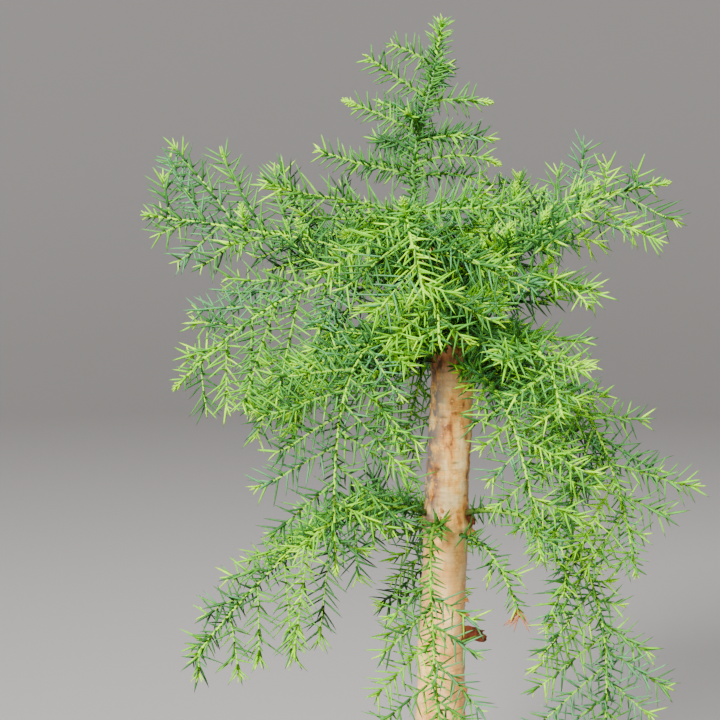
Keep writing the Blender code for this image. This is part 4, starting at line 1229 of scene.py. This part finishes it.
def side_twigs(stem, needles, shoots):
    """Twigs on either side of a bough by turns, longest in its middle, each with its needles."""
    path = stem.path
    total = PATH_STEP * (len(path) - 1)
    begin = stem.start * PATH_STEP
    reaches = LOPSIDED.get(stem.name, (1.0, 1.0))
    first, apart = SPARSER.get(stem.name, (0.0, 1.0))
    place = max(stem.off_bark, begin * (0.60 if stem.whorl == "low" else 0.25), first * total)
    bough_reach = math.hypot(path[-1].x - path[0].x, path[-1].y)
    side = 1
    number = 0
    while place < total - 0.004:
        number += 1
        random.seed("%s %d" % (stem.name, number))
        share = (place - begin) / (total - begin)
        k = min(int(place / PATH_STEP), len(path) - 2)
        start = path[k].lerp(path[k + 1], place / PATH_STEP - k)
        along = (path[k + 1] - path[k]).normalized()
        side = -side
        pitch = INNER_PITCH + (OUTER_PITCH - INNER_PITCH) * max(0.0, share)
        place += pitch * apart + random.gauss(0, 0.0005)
        level = (stem.fan - along * stem.fan.dot(along)).normalized()
        above = level.cross(along).normalized()
        if above.z < 0:
            above = -above
        roll = stem.roll + random.gauss(0, 0.2) + math.radians(STEEPER.get(stem.name, 0))
        fan = level * math.cos(roll) + above * math.sin(roll)
        angle = math.radians(TWIG_ANGLE + random.uniform(-10, 10))
        heading = along * math.cos(angle) + fan * side * math.sin(angle)
        fullness = max(0.38, min(1.0, 0.62 + share * 1.3)) * min(1.0, (1.06 - share) / 0.55) ** 0.8
        reach = reaches[0 if side > 0 else 1]
        length = stem.twig * min(1.0, fullness * reach) * random.uniform(0.80, 1.08)
        for at, which, more in LEADING.get(stem.name, ()):
            if side == which and abs(share - at) < 0.055:
                length *= more
        if length < SHORTEST_TWIG:
            continue
        line = twig_line(start, heading, length, stem.droop)
        if not clear_of_trunk(line):
            continue
        depth = math.hypot(line[4].x - path[0].x, line[4].y) / bough_reach
        steps = [n / TWIG_STEPS for n in range(TWIG_STEPS + 1)]
        # the twig skin darker near the trunk: partly older twigs, partly painted shade deep in the crown
        shoots.add(line, [TWIG_THICK * (1.0 - 0.45 * n) for n in steps], TWIG_SIDES,
                   [min(1.0, depth * 1.4) * (0.3 + 0.7 * n) for n in steps])
        tones = twig_tones(stem, depth)
        fresh = random.choice((0.002, 0.005, 0.011)) * stem.vigour
        clothe(needles, line, "twig", tones, fresh, plane=fan, start=0.0012, vigour=stem.vigour)


def crest_shoots(stem, needles, shoots):
    """Short shoots along the crest of an upper bough, seen end-on as small stars."""
    path = stem.path
    for share in (0.28, 0.44, 0.66):
        k = int(len(path) * (share + random.uniform(-0.04, 0.04)))
        along = (path[k + 1] - path[k]).normalized()
        upright = Vector((random.gauss(0, 0.3), random.gauss(-0.25, 0.3), 1.0))
        heading = (upright + along * 0.7).normalized()
        line = twig_line(path[k], heading, random.uniform(0.007, 0.013), 0.0)
        if clear_of_trunk(line):
            shoots.add(line, [TWIG_THICK] * len(line), TWIG_SIDES, [0.9] * len(line))
            clothe(needles, line, "crest", (YOUNG, SUMMER, NEW), 0.006, start=0.001)
            bud(needles, line[-1], (line[-1] - line[-2]).normalized())


groups = {}
for stem in stems:
    random.seed(stem.name)
    west = stem.path[-1].x < TRUNK_STANDS
    key = "leader" if stem.whorl == "leader" else "%s_%s" % (stem.whorl, "left" if west else "right")
    needles, shoots, nodes = groups.setdefault(key, (Needles(), Tubes(), []))
    nodes.append(stem.name)
    path = stem.path
    # boughs ending at the back get darker needles, as painted shade
    stem.behind = path[-1].y > 0.03
    stem.vigour = VIGOUR.get(stem.name, 1.0)
    stem.off_bark = trunk_axis(path[0].z)[1] + NEEDLES_OFF_BARK
    if stem.name in BUDDED:
        bud(needles, path[-1], (path[-1] - path[-3]).normalized())
    if stem.whorl == "leader":
        leader_spray(stem, needles, shoots)
        continue
    bough_needles(stem, needles)
    side_twigs(stem, needles, shoots)
    if stem.whorl == "top":
        crest_shoots(stem, needles, shoots)
    # two withered tufts: one hangs from the end of the lowest inner bough, one sits in the crown
    if stem.name == "low_right_inner":
        for n in range(8):
            heading = Vector((random.uniform(-0.8, 0.8), random.uniform(-0.7, 0.1),
                              random.uniform(-1.0, -0.2)))
            needles.add(path[-1 - n // 3], heading, heading.cross(Vector((0, 1, 0))),
                        0.0120, 0.0012, DEAD, 0.0)
    if stem.name == "top_right_front":
        for n in range(14):
            heading = Vector((random.gauss(0, 1), random.gauss(-0.6, 0.6), random.gauss(0.2, 1)))
            needles.add(path[9] + Vector((0.0, -0.006, 0.004)), heading, heading.orthogonal(),
                        random.uniform(0.0025, 0.0045), 0.0009, DEAD, 0.2)

# the leader's own needles, from where its bark turns green to the very top
top = trunk_axis(TRUNK[-1][0])[0]
lean = (top - trunk_axis(0.520)[0]).normalized()
leader_line = [trunk_axis(LEADER_FROM + 0.002 * i)[0] for i in range(54)]
leader_line += [top + lean * LEADER_TOP * k / 5 for k in range(1, 6)]
needles, shoots, nodes = groups["leader"]
nodes.append("leader_tip")
clothe(needles, leader_line, "leader", (SUMMER, MATURE, BLOOMED), 0.014)
shoots.add([top - lean * 0.002] + leader_line[-5:], [0.0011, 0.0010, 0.0009, 0.0008, 0.0007, 0.0005],
           6, [0.8] * 6)

for key, (needles, shoots, nodes) in groups.items():
    foliage = needles.build("%s_needles" % key, needle_mats)
    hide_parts(*[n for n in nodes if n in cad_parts])
    twigs = shoots.build("%s_twigs" % key, twig_skin)
